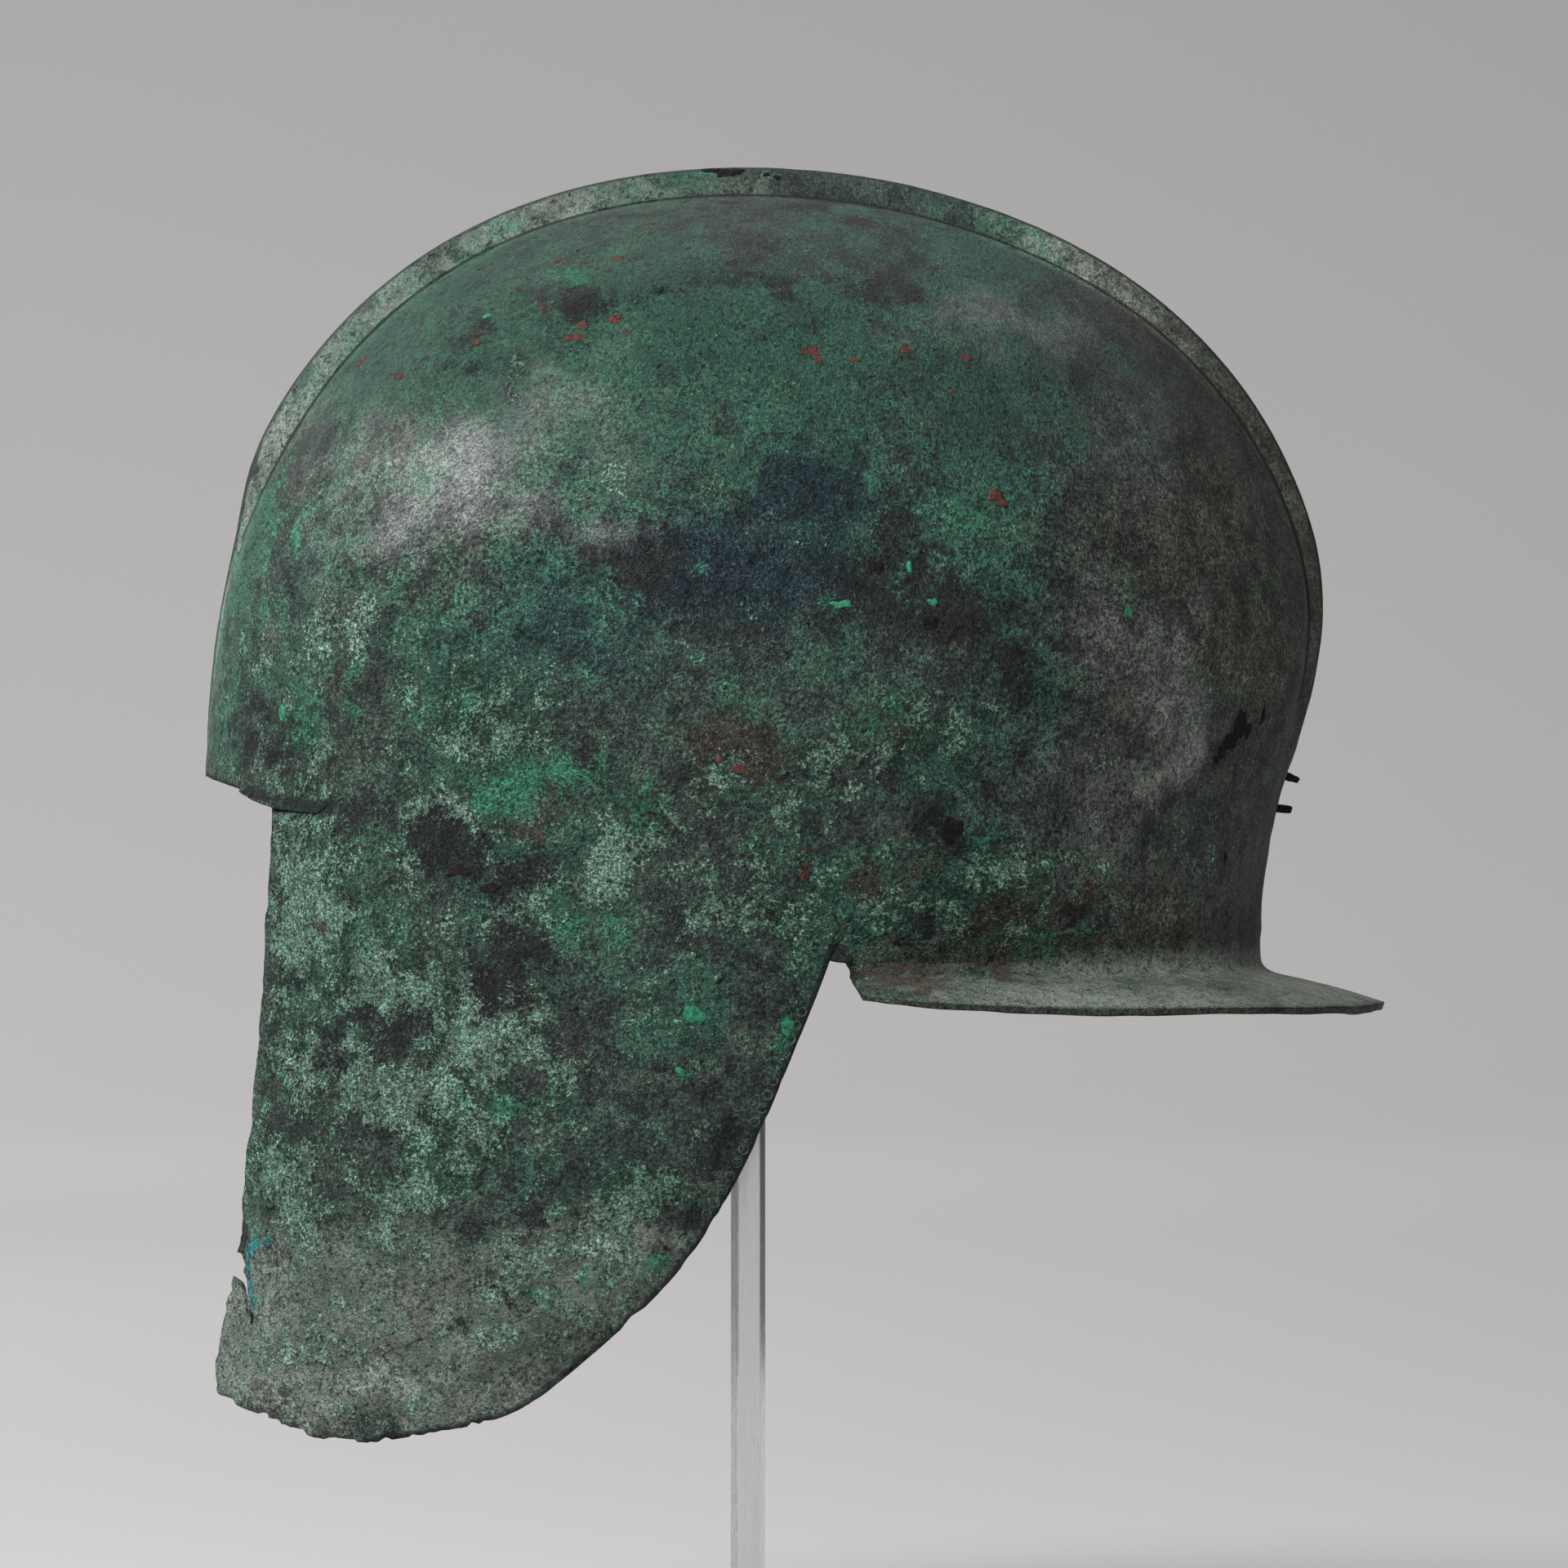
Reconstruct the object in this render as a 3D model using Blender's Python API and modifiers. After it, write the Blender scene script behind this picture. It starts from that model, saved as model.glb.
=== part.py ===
# An Illyrian bronze helmet, standing on a plain clear stand.
# Metres, +Z up. The helmet faces -X and its left side looks towards -Y.
# The origin is under the middle of the helmet's length, on the surface that the stand rests on.
import math

import bmesh
import bpy
import numpy as np
from mathutils import Vector

# Bowl. The widest level is the height where the flanks stand furthest apart.
BOWL_LENGTH = 0.232
BOWL_WIDTH = 0.186
CROWN_RISE = 0.112
BOWL_ROUNDNESS = 2.1
WALL = 0.0016

# Front and neck
FACE_OPENING = 0.100
BROW_DROP = 0.0121
BROW_CORNER_DROP = 0.0172
NECK_DROP = 0.0537
FLANGE_WIDTH = 0.0266
FLANGE_FALL = 0.0064
FLANGE_FILLET = 0.0030

# Cheekpieces, measured from the brow's corner
CHEEK_LENGTH = 0.1320
CHEEK_WIDTH = 0.1160
TIP_ABOVE_TABLE = 0.0640

# Crest ridges, measured across from the helmet's middle
CREST_REACH = 0.0225
CREST_RISE = 0.0055

# Damage on the left cheekpiece
CRACK_LENGTH = 0.0125
CRACK_GAP = 0.0008

# Pins at the back of the neck, which held the crest's tail
PIN_RADIUS = 0.00095
PIN_PROUD = 0.0036
PIN_HEAD_RADIUS = 0.0024
PIN_HEAD_THICKNESS = 0.0010
UPPER_PIN_DROP = 0.0120
LOWER_PIN_DROP = 0.0190

# Stand
POST_SIDE = 0.0058
POST_TURN = math.radians(18.0)
POST_BACK_SHARE = 0.459
PAD_RADIUS = 0.0150
PAD_THICKNESS = 0.0120
PAD_CROWN_RADIUS = 0.0620
BASE_SIDE = 0.150
BASE_THICKNESS = 0.012
BASE_BEVEL = 0.0010
SOCKET_DEPTH = 0.0070
CLEARANCE = 0.0003

MERGE = 0.00001

# How far the bowl's form reaches in each direction of the side view, as a share of its ellipse.
# Degrees run from the back over the crown to the front, then below the edges, where the
# form goes on unseen to shape the cheekpieces and the neck.
FORM_REACH = (
    # degrees, reach
    (-20.0, 0.968),
    (-10.0, 0.951),
    (0.0, 0.977),
    (10.0, 1.020),
    (20.0, 1.042),
    (30.0, 1.046),
    (45.0, 1.037),
    (60.0, 1.014),
    (75.0, 0.998),
    (90.0, 0.996),
    (105.0, 1.011),
    (120.0, 1.028),
    (135.0, 1.031),
    (150.0, 1.020),
    (165.0, 1.016),
    (180.0, 1.013),
    (190.0, 1.035),
    (200.0, 1.105),
    (211.0, 1.230),
    (225.0, 1.540),
    (240.0, 2.000),
    (254.0, 2.100),
    (271.0, 1.750),
    (288.0, 1.340),
    (305.0, 1.165),
    (320.0, 1.085),
    (332.0, 1.023),
)

# The raised crest: two ridges with a channel between, then a groove and a low bead.
CREST_SECTION = (
    # across, rise
    (0.000, 0.00),
    (0.150, 0.00),
    (0.280, 0.03),
    (0.345, 0.50),
    (0.410, 0.93),
    (0.475, 1.00),
    (0.535, 0.92),
    (0.625, 0.48),
    (0.715, 0.05),
    (0.765, -0.10),
    (0.850, 0.09),
    (1.000, 0.00),
)

# How high the crest stands along its run, from the neck over the crown to the forehead.
CREST_RUN = (
    # degrees, height
    (-10.0, 0.00),
    (2.0, 0.30),
    (20.0, 0.62),
    (60.0, 1.00),
    (150.0, 1.00),
    (156.5, 0.75),
    (161.0, 0.00),
)

# Edges of a cheekpiece from the brow's corner: back is a share of its width, down of its length.
CHEEK_FRONT = (
    # back, down
    (0.000, 0.000),
    (-0.010, 0.240),
    (-0.029, 0.430),
    (-0.058, 0.665),
    (-0.068, 0.750),
    (-0.094, 0.830),
    (-0.108, 0.890),
)
CHEEK_BOTTOM = (
    (-0.108, 0.890),
    (-0.098, 0.935),
    (-0.054, 0.956),
    (0.022, 0.976),
    (0.108, 1.000),
    (0.230, 0.994),
    (0.343, 0.975),
    (0.440, 0.949),
    (0.534, 0.890),
)
CHEEK_REAR = (
    (0.534, 0.890),
    (0.663, 0.790),
    (0.743, 0.713),
    (0.781, 0.663),
    (0.846, 0.562),
    (0.897, 0.461),
    (0.956, 0.334),
    (0.987, 0.266),
    (1.004, 0.222),
)

# The tear in the left cheekpiece's front edge, in the same shares.
TEAR = (
    (-0.100, 0.705),
    (-0.052, 0.711),
    (-0.040, 0.812),
    (-0.050, 0.760),
    (-0.100, 0.728),
)

# The neck guard's flange: its section outwards, and how it narrows towards its front ends.
FLANGE_SECTION = (
    # out, fall
    (0.030, 0.19),
    (0.105, 0.35),
    (0.310, 0.46),
    (0.640, 0.68),
    (1.000, 1.00),
)
FLANGE_RUN = (
    # place, width, fall
    (0.00, 1.00, 1.00),
    (0.45, 0.93, 0.96),
    (0.80, 0.80, 0.86),
    (0.94, 0.62, 0.76),
    (1.00, 0.42, 0.60),
)

# Mesh columns and rows of one half
CHEEK_COLUMNS = 25
NECK_COLUMNS = 8
SIDE_ROWS = 12
CHEEK_ROWS = 15
RIB_SAMPLES = 160
NOTCH_CREST_ANGLE = 20.0
NECK_FRONT_LEAN = 0.0032

HALF_LENGTH = BOWL_LENGTH / 2
HALF_WIDTH = BOWL_WIDTH / 2


# Smooth curves through the rows of a table
def spline_slopes(at, values, closed):
    count = len(at)
    matrix = np.zeros((count, count))
    right = np.zeros(count)
    for i in range(count):
        before, after = i - 1, (i + 1) % count
        if not closed and i == 0:
            step = at[1] - at[0]
            matrix[0, 0], matrix[0, 1] = 2.0, 1.0
            right[0] = 3.0 * (values[1] - values[0]) / step
            continue
        if not closed and i == count - 1:
            step = at[-1] - at[-2]
            matrix[i, i], matrix[i, i - 1] = 2.0, 1.0
            right[i] = 3.0 * (values[-1] - values[-2]) / step
            continue
        step_before = (at[i] - at[before]) % 360.0 if closed else at[i] - at[before]
        step_after = (at[after] - at[i]) % 360.0 if closed else at[after] - at[i]
        matrix[i, before] = 1.0 / step_before
        matrix[i, i] = 2.0 / step_before + 2.0 / step_after
        matrix[i, after] = 1.0 / step_after
        rise_before = (values[i] - values[before]) / step_before**2
        rise_after = (values[after] - values[i]) / step_after**2
        right[i] = 3.0 * (rise_before + rise_after)
    return np.linalg.solve(matrix, right)


def hermite(at, values, slopes, wanted):
    cell = np.clip(np.searchsorted(at, wanted, side="right") - 1, 0, len(at) - 2)
    step = at[cell + 1] - at[cell]
    t = (wanted - at[cell]) / step
    start = values[cell] * (1 + 2 * t) * (1 - t) ** 2 + slopes[cell] * step * t * (1 - t) ** 2
    end = values[cell + 1] * t * t * (3 - 2 * t) + slopes[cell + 1] * step * t * t * (t - 1)
    return start + end


REACH_AT = np.array([row[0] for row in FORM_REACH])
REACH_VALUES = np.array([row[1] for row in FORM_REACH])
REACH_SLOPES = spline_slopes(REACH_AT, REACH_VALUES, closed=True)
RING_AT = np.append(REACH_AT, REACH_AT[0] + 360.0)
RING_VALUES = np.append(REACH_VALUES, REACH_VALUES[0])
RING_SLOPES = np.append(REACH_SLOPES, REACH_SLOPES[0])


def form_reach(degrees):
    wrapped = REACH_AT[0] + (degrees - REACH_AT[0]) % 360.0
    return hermite(RING_AT, RING_VALUES, RING_SLOPES, wrapped)


def smooth_line(points, count):
    """count points evenly spaced along a smooth line through the given ones."""
    points = np.array(points, float)
    at = np.append(0.0, np.cumsum(np.linalg.norm(np.diff(points, axis=0), axis=1)))
    fine = np.linspace(0.0, at[-1], 400)
    columns = [hermite(at, c, spline_slopes(at, c, closed=False), fine) for c in points.T]
    return even_line(np.stack(columns, axis=1), count)


def even_line(points, count):
    length = np.append(0.0, np.cumsum(np.linalg.norm(np.diff(points, axis=0), axis=1)))
    wanted = np.linspace(0.0, length[-1], count)
    return np.stack([np.interp(wanted, length, column) for column in points.T], axis=1)


# The bowl's form. Side-view places are (x, z) from the flank's centre, and the left half has -Y.
def side_polar(side):
    across = side[..., 0] / HALF_LENGTH
    up = side[..., 1] / CROWN_RISE
    degrees = np.degrees(np.arctan2(up, across))
    return degrees, np.hypot(across, up)


def form_half_width(side):
    degrees, radius = side_polar(side)
    inside = np.clip(1.0 - (radius / form_reach(degrees)) ** BOWL_ROUNDNESS, 0.0, 1.0)
    return HALF_WIDTH * inside ** (1.0 / BOWL_ROUNDNESS)


def on_form(side):
    return np.stack([side[..., 0], -form_half_width(side), side[..., 1]], axis=-1)


def form_value(points):
    degrees, radius = side_polar(points[..., [0, 2]])
    flat = (radius / form_reach(degrees)) ** BOWL_ROUNDNESS
    return flat + (np.abs(points[..., 1]) / HALF_WIDTH) ** BOWL_ROUNDNESS


def form_normals(points):
    step = HALF_WIDTH * 0.001
    gradient = np.zeros_like(points)
    for axis in range(3):
        shift = np.zeros(3)
        shift[axis] = step
        gradient[..., axis] = form_value(points + shift) - form_value(points - shift)
    return gradient / np.linalg.norm(gradient, axis=-1, keepdims=True)


def crest_place(degrees):
    angle = np.radians(degrees)
    reach = form_reach(degrees)
    return np.stack([HALF_LENGTH * reach * np.cos(angle), CROWN_RISE * reach * np.sin(angle)], axis=-1)


def crest_angle_at(drop, low, high):
    """The direction between low and high where the middle line lies that far below the widest level."""
    for _ in range(50):
        middle = (low + high) / 2
        if crest_place(np.array(middle))[1] > -drop:
            low = middle
        else:
            high = middle
    return middle


def side_reach_at(drop, half_width, sign):
    """How far out along X the form has that half width, at a level below the widest one."""
    near, far = 0.0, 1.5 * HALF_LENGTH
    for _ in range(50):
        middle = (near + far) / 2
        if form_half_width(np.array([sign * middle, -drop])) > half_width:
            near = middle
        else:
            far = middle
    return sign * middle


# Places that the pieces share
BROW_ANGLE = crest_angle_at(BROW_DROP, 150.0, 210.0)
ROOT_LEVEL = NECK_DROP - FLANGE_FILLET
ROOT_ANGLE = crest_angle_at(ROOT_LEVEL, 0.0, -60.0)
BROW_CORNER = np.array([side_reach_at(BROW_CORNER_DROP, FACE_OPENING / 2, -1.0), -BROW_CORNER_DROP])
CHEEK_SPAN = np.array([CHEEK_WIDTH, -CHEEK_LENGTH])
NOTCH = BROW_CORNER + CHEEK_REAR[-1] * CHEEK_SPAN
NECK_FRONT = np.array([NOTCH[0] + NECK_FRONT_LEAN, -ROOT_LEVEL])
BROW_FRONT_X = crest_place(np.array(BROW_ANGLE))[0]
FLANGE_TIP_X = crest_place(np.array(ROOT_ANGLE))[0] + FLANGE_WIDTH
FLANK_X = -(BROW_FRONT_X + FLANGE_TIP_X) / 2
FLANK_Z = TIP_ABOVE_TABLE + CHEEK_LENGTH + BROW_CORNER_DROP
CROWN_Z = FLANK_Z + crest_place(np.array(90.0))[1]
POST_X = BROW_FRONT_X + FLANK_X + POST_BACK_SHARE * (FLANGE_TIP_X - BROW_FRONT_X)


def crest_height(distance, degrees):
    across = np.array([row[0] for row in CREST_SECTION]) * CREST_REACH
    rise = np.array([row[1] for row in CREST_SECTION]) * CREST_RISE
    run_at = np.array([row[0] for row in CREST_RUN])
    run = np.array([row[1] for row in CREST_RUN])
    along = np.interp(degrees, run_at, run, left=0.0, right=0.0)
    return along * np.interp(distance, across, rise, right=0.0)


def rib(crest_degrees, foot):
    """One rib of the bowl, from its middle line down to a place on the flank."""
    top = crest_place(np.array(crest_degrees))
    share = np.linspace(0.0, 1.0, RIB_SAMPLES) ** 2
    line = on_form(top + share[:, None] * (foot - top))
    line[0, 1] = 0.0
    length = np.append(0.0, np.cumsum(np.linalg.norm(np.diff(line, axis=0), axis=1)))
    crest = np.array([row[0] for row in CREST_SECTION]) * CREST_REACH
    distance = np.append(crest, np.linspace(CREST_REACH, length[-1], SIDE_ROWS + 1)[1:])
    placed_share = np.interp(distance, length, share)
    points = on_form(top + placed_share[:, None] * (foot - top))
    degrees, _ = side_polar(points[:, [0, 2]])
    points += form_normals(points) * crest_height(distance, degrees)[:, None]
    points[0, 1] = 0.0
    return points


def bowl_grid():
    """Ribs from the brow edge over the crown to the neck, each from the middle line to the flank."""
    front = np.linspace(BROW_ANGLE, NOTCH_CREST_ANGLE, 400)
    back = np.linspace(NOTCH_CREST_ANGLE, ROOT_ANGLE, 200)
    crest_front = even_line(np.column_stack([crest_place(front), front]), CHEEK_COLUMNS + 1)[:, 2]
    crest_back = even_line(np.column_stack([crest_place(back), back]), NECK_COLUMNS + 1)[:, 2]
    foot_front = even_line(np.array([BROW_CORNER, NOTCH]), CHEEK_COLUMNS + 1)
    foot_back = even_line(np.array([NOTCH, NECK_FRONT]), NECK_COLUMNS + 1)
    angles = np.append(crest_front, crest_back[1:])
    feet = np.concatenate([foot_front, foot_back[1:]])
    return np.array([rib(angle, foot) for angle, foot in zip(angles, feet)])


def cheek_edge(rows, count):
    return smooth_line(BROW_CORNER + np.array(rows) * CHEEK_SPAN, count)


def cheek_grid():
    """The cheekpiece's plate, spread evenly between its four edges."""
    top = even_line(np.array([BROW_CORNER, NOTCH]), CHEEK_COLUMNS + 1)[:, None]
    bottom = cheek_edge(CHEEK_BOTTOM, CHEEK_COLUMNS + 1)[:, None]
    front = cheek_edge(CHEEK_FRONT, CHEEK_ROWS + 1)[None]
    rear = cheek_edge(CHEEK_REAR[::-1], CHEEK_ROWS + 1)[None]
    back = np.linspace(0.0, 1.0, CHEEK_COLUMNS + 1)[:, None, None]
    down = np.linspace(0.0, 1.0, CHEEK_ROWS + 1)[None, :, None]
    between_ends = (1 - down) * top + down * bottom
    between_sides = (1 - back) * front + back * rear
    corners = (1 - back) * (1 - down) * front[:, :1] + back * (1 - down) * rear[:, :1]
    corners = corners + (1 - back) * down * front[:, -1:] + back * down * rear[:, -1:]
    return on_form(between_ends + between_sides - corners)


def flange_grid(root):
    """The neck guard's flange, spread outwards from the bowl's last rib."""
    place = np.append(0.0, np.cumsum(np.linalg.norm(np.diff(root, axis=0), axis=1)))
    run = np.array(FLANGE_RUN)
    width = FLANGE_WIDTH * np.interp(place / place[-1], run[:, 0], run[:, 1])
    fall = (FLANGE_FALL + FLANGE_FILLET) * np.interp(place / place[-1], run[:, 0], run[:, 2])
    outward = form_normals(root)
    outward[:, 2] = 0.0
    outward[0, 1] = 0.0
    outward /= np.linalg.norm(outward, axis=1, keepdims=True)
    rows = [root]
    for out, down in FLANGE_SECTION:
        row = root + outward * (width * out)[:, None]
        row[:, 2] -= fall * down
        rows.append(row)
    return np.array(rows)


def add_grid(mesh, grid):
    """Adds a grid of points as quads whose faces look away from the helmet's inside."""
    verts = [[mesh.verts.new(point) for point in line] for line in grid]
    for line, following in zip(verts, verts[1:]):
        for a, b, c, d in zip(line, line[1:], following[1:], following):
            mesh.faces.new((a, b, c, d))


# Scene tools
def clear_scene():
    for item in list(bpy.data.objects):
        bpy.data.objects.remove(item, do_unlink=True)


def new_collection(name):
    collection = bpy.data.collections.new(name)
    bpy.context.scene.collection.children.link(collection)
    return collection


def new_material(name, colour, roughness, metallic, transmission=0.0):
    material = bpy.data.materials.new(name)
    material.use_nodes = True
    shader = material.node_tree.nodes["Principled BSDF"]
    shader.inputs["Base Color"].default_value = (*colour, 1.0)
    shader.inputs["Roughness"].default_value = roughness
    shader.inputs["Metallic"].default_value = metallic
    shader.inputs["Transmission Weight"].default_value = transmission
    return material


def new_object(name, mesh, collection, material=None):
    item = bpy.data.objects.new(name, mesh)
    collection.objects.link(item)
    if material:
        mesh.materials.append(material)
    return item


def mesh_from(name, build):
    mesh = bpy.data.meshes.new(name)
    shape = bmesh.new()
    build(shape)
    shape.to_mesh(mesh)
    shape.free()
    return mesh


def block(name, size, collection, material=None):
    def build(shape):
        bmesh.ops.create_cube(shape, size=1.0)
        bmesh.ops.scale(shape, vec=size, verts=shape.verts)

    return new_object(name, mesh_from(name, build), collection, material)


def rod(name, radius, length, sides, collection):
    def build(shape):
        bmesh.ops.create_cone(
            shape, cap_ends=True, segments=sides, radius1=radius, radius2=radius, depth=length
        )

    return new_object(name, mesh_from(name, build), collection)


def turned(name, profile, sides, collection, material):
    """A turned piece: the profile runs from the top of the axis down its outer side to the axis again."""

    def build(shape):
        verts = [shape.verts.new((radius, 0.0, height)) for radius, height in profile]
        for a, b in zip(verts, verts[1:]):
            shape.edges.new((a, b))

    item = new_object(name, mesh_from(name, build), collection, material)
    screw = item.modifiers.new("turn", "SCREW")
    screw.steps = sides
    screw.render_steps = sides
    screw.use_merge_vertices = True
    screw.merge_threshold = MERGE
    return item


def slab_cutter(name, outline, near, far, collection):
    """A closed slab with an outline in the side view, from one place across the helmet to another."""
    curve = bpy.data.curves.new(name, "CURVE")
    curve.dimensions = "2D"
    curve.fill_mode = "BOTH"
    curve.extrude = abs(far - near) / 2
    spline = curve.splines.new("POLY")
    spline.points.add(len(outline) - 1)
    for point, (x, z) in zip(spline.points, outline):
        point.co = (x, z, 0.0, 1.0)
    spline.use_cyclic_u = True
    drawn = bpy.data.objects.new(name + "_curve", curve)
    collection.objects.link(drawn)
    drawn.rotation_euler = (math.radians(90.0), 0.0, 0.0)
    drawn.location = (FLANK_X, (near + far) / 2, FLANK_Z)
    graph = bpy.context.evaluated_depsgraph_get()
    mesh = bpy.data.meshes.new_from_object(drawn.evaluated_get(graph))
    mesh.transform(drawn.matrix_world)
    bpy.data.objects.remove(drawn, do_unlink=True)
    shape = bmesh.new()
    shape.from_mesh(mesh)
    bmesh.ops.remove_doubles(shape, verts=shape.verts, dist=MERGE)
    bmesh.ops.recalc_face_normals(shape, faces=shape.faces)
    shape.to_mesh(mesh)
    shape.free()
    return new_object(name, mesh, collection)


def cut(item, cutter):
    cutter.hide_render = True
    cutter.display_type = "WIRE"
    modifier = item.modifiers.new(cutter.name, "BOOLEAN")
    modifier.operation = "DIFFERENCE"
    modifier.object = cutter


# Pieces
def helmet_shell(parts, bronze):
    """Bowl, crest ridges, cheekpieces and neck guard, hammered from one sheet."""

    def build(shape):
        bowl = bowl_grid()
        add_grid(shape, bowl)
        add_grid(shape, cheek_grid())
        add_grid(shape, flange_grid(bowl[-1]))
        bmesh.ops.remove_doubles(shape, verts=shape.verts, dist=MERGE)

    mesh = mesh_from("helmet_shell", build)
    shell = new_object("helmet_shell", mesh, parts, bronze)
    shell.location = (FLANK_X, 0.0, FLANK_Z)
    mirror = shell.modifiers.new("both_sides", "MIRROR")
    mirror.use_axis = (False, True, False)
    mirror.merge_threshold = MERGE
    wall = shell.modifiers.new("wall", "SOLIDIFY")
    wall.thickness = WALL
    wall.offset = -1.0
    wall.use_even_offset = True
    return shell


def cut_damage(shell, cutters):
    """The crack at the brow's corner and the tear in the front edge, on the left side only."""
    half_gap = CRACK_GAP / 2
    mouth = -CRACK_LENGTH / 2
    sag = -CRACK_GAP * 2.5
    crack = (
        (mouth, half_gap),
        (CRACK_LENGTH * 0.72, sag + half_gap),
        (CRACK_LENGTH, sag * 0.4),
        (CRACK_LENGTH * 0.72, sag - half_gap),
        (mouth, -half_gap - CRACK_GAP),
    )
    crack_outline = [BROW_CORNER + np.array(point) for point in crack]
    tear_outline = [BROW_CORNER + np.array(point) * CHEEK_SPAN for point in TEAR]
    inner = -FACE_OPENING / 4
    outer = -HALF_WIDTH * 1.2
    cut(shell, slab_cutter("crack_cutter", crack_outline, inner, outer, cutters))
    cut(shell, slab_cutter("tear_cutter", tear_outline, inner, outer, cutters))


def crest_pin(name, drop, tilt, shell, parts, cutters, bronze):
    """A clenched pin through the back of the neck, in a hole of its own."""
    degrees = crest_angle_at(drop, 60.0, -60.0)
    side = crest_place(np.array(degrees))
    place = Vector((side[0] + FLANK_X, 0.0, side[1] + FLANK_Z))
    turn = (0.0, math.radians(90.0) + tilt, 0.0)
    inner = -WALL / math.cos(tilt) - CLEARANCE
    profile = (
        (0.0, PIN_PROUD),
        (PIN_RADIUS * 0.75, PIN_PROUD),
        (PIN_RADIUS, PIN_PROUD - PIN_RADIUS * 0.3),
        (PIN_RADIUS, inner),
        (PIN_HEAD_RADIUS, inner),
        (PIN_HEAD_RADIUS * 0.8, inner - PIN_HEAD_THICKNESS),
        (0.0, inner - PIN_HEAD_THICKNESS),
    )
    pin = turned(name, profile, 12, parts, bronze)
    pin.location = place
    pin.rotation_euler = turn
    hole = rod(name + "_hole", PIN_RADIUS + CLEARANCE, WALL * 5, 12, cutters)
    hole.location = place
    hole.rotation_euler = turn
    cut(shell, hole)


def stand(parts, cutters, acrylic):
    """A square post from a base plate up to a pad under the crown."""
    pad_top = CROWN_Z - WALL - CLEARANCE
    pad_bottom = pad_top - PAD_THICKNESS
    post_top = pad_bottom + SOCKET_DEPTH
    post_bottom = BASE_THICKNESS - SOCKET_DEPTH + CLEARANCE

    crown = []
    for share in (0.0, 0.3, 0.55, 0.8, 1.0):
        radius = PAD_RADIUS * share
        sag = PAD_CROWN_RADIUS - math.sqrt(PAD_CROWN_RADIUS**2 - radius**2)
        crown.append((radius, PAD_THICKNESS - sag))
    pad = turned("stand_pad", [*crown, (PAD_RADIUS, 0.0), (0.0, 0.0)], 32, parts, acrylic)
    pad.location = (POST_X, 0.0, pad_bottom)

    post = block("stand_post", (POST_SIDE, POST_SIDE, post_top - post_bottom), parts, acrylic)
    post.location = (POST_X, 0.0, (post_top + post_bottom) / 2)
    post.rotation_euler = (0.0, 0.0, POST_TURN)

    base = block("stand_base", (BASE_SIDE, BASE_SIDE, BASE_THICKNESS), parts, acrylic)
    base.location = (POST_X, 0.0, BASE_THICKNESS / 2)
    bevel = base.modifiers.new("edges", "BEVEL")
    bevel.width = BASE_BEVEL
    bevel.segments = 2

    socket_side = POST_SIDE + 2 * CLEARANCE
    for carrier, mouth, way in ((pad, pad_bottom, 1.0), (base, BASE_THICKNESS, -1.0)):
        depth = SOCKET_DEPTH + (CLEARANCE if way > 0 else 0.0)
        socket = block(carrier.name + "_socket", (socket_side, socket_side, 2 * depth), cutters)
        socket.location = (POST_X, 0.0, mouth)
        socket.rotation_euler = (0.0, 0.0, POST_TURN)
        cut(carrier, socket)


def main():
    clear_scene()
    parts = new_collection("illyrian_helmet")
    cutters = new_collection("cutters")
    bronze = new_material("patinated_bronze", (0.06, 0.13, 0.09), 0.62, 0.15)
    pin_bronze = new_material("dark_bronze", (0.04, 0.05, 0.04), 0.70, 0.15)
    acrylic = new_material("clear_acrylic", (0.90, 0.92, 0.92), 0.12, 0.0, transmission=0.9)
    shell = helmet_shell(parts, bronze)
    cut_damage(shell, cutters)
    crest_pin("crest_pin_upper", UPPER_PIN_DROP, math.radians(20.0), shell, parts, cutters, pin_bronze)
    crest_pin("crest_pin_lower", LOWER_PIN_DROP, math.radians(6.0), shell, parts, cutters, pin_bronze)
    stand(parts, cutters, acrylic)


main()
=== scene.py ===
import math
import random

import bmesh
import bpy
import numpy as np
from mathutils import Matrix, Vector, noise
from mathutils.bvhtree import BVHTree
from mathutils.kdtree import KDTree


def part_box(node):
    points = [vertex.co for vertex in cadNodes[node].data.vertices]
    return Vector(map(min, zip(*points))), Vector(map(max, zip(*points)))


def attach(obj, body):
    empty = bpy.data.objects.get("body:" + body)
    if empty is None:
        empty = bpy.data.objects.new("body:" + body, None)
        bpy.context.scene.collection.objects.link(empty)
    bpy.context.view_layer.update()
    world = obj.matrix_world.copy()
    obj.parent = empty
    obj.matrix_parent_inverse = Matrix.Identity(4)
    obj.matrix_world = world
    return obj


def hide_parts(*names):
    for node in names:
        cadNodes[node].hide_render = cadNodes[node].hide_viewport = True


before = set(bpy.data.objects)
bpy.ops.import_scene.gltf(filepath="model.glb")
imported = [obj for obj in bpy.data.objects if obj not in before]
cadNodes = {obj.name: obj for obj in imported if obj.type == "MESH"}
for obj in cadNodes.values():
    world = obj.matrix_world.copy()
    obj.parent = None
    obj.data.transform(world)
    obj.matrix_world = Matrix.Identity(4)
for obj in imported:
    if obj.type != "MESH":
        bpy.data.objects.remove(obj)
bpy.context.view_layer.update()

bpy.context.scene.view_settings.view_transform = "Standard"


def only(*objects):
    for obj in bpy.context.selected_objects:
        obj.select_set(False)
    for obj in objects:
        obj.select_set(True)
    bpy.context.view_layer.objects.active = objects[0]


def editMode(obj, mode="FACE", action="SELECT"):
    only(obj)
    bpy.ops.object.mode_set(mode="EDIT")
    bpy.ops.mesh.select_mode(type=mode)
    bpy.ops.mesh.select_all(action=action)


def objectMode():
    bpy.ops.object.mode_set(mode="OBJECT")


def shadeSmooth(obj):
    only(obj)
    bpy.ops.object.shade_smooth()


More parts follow.
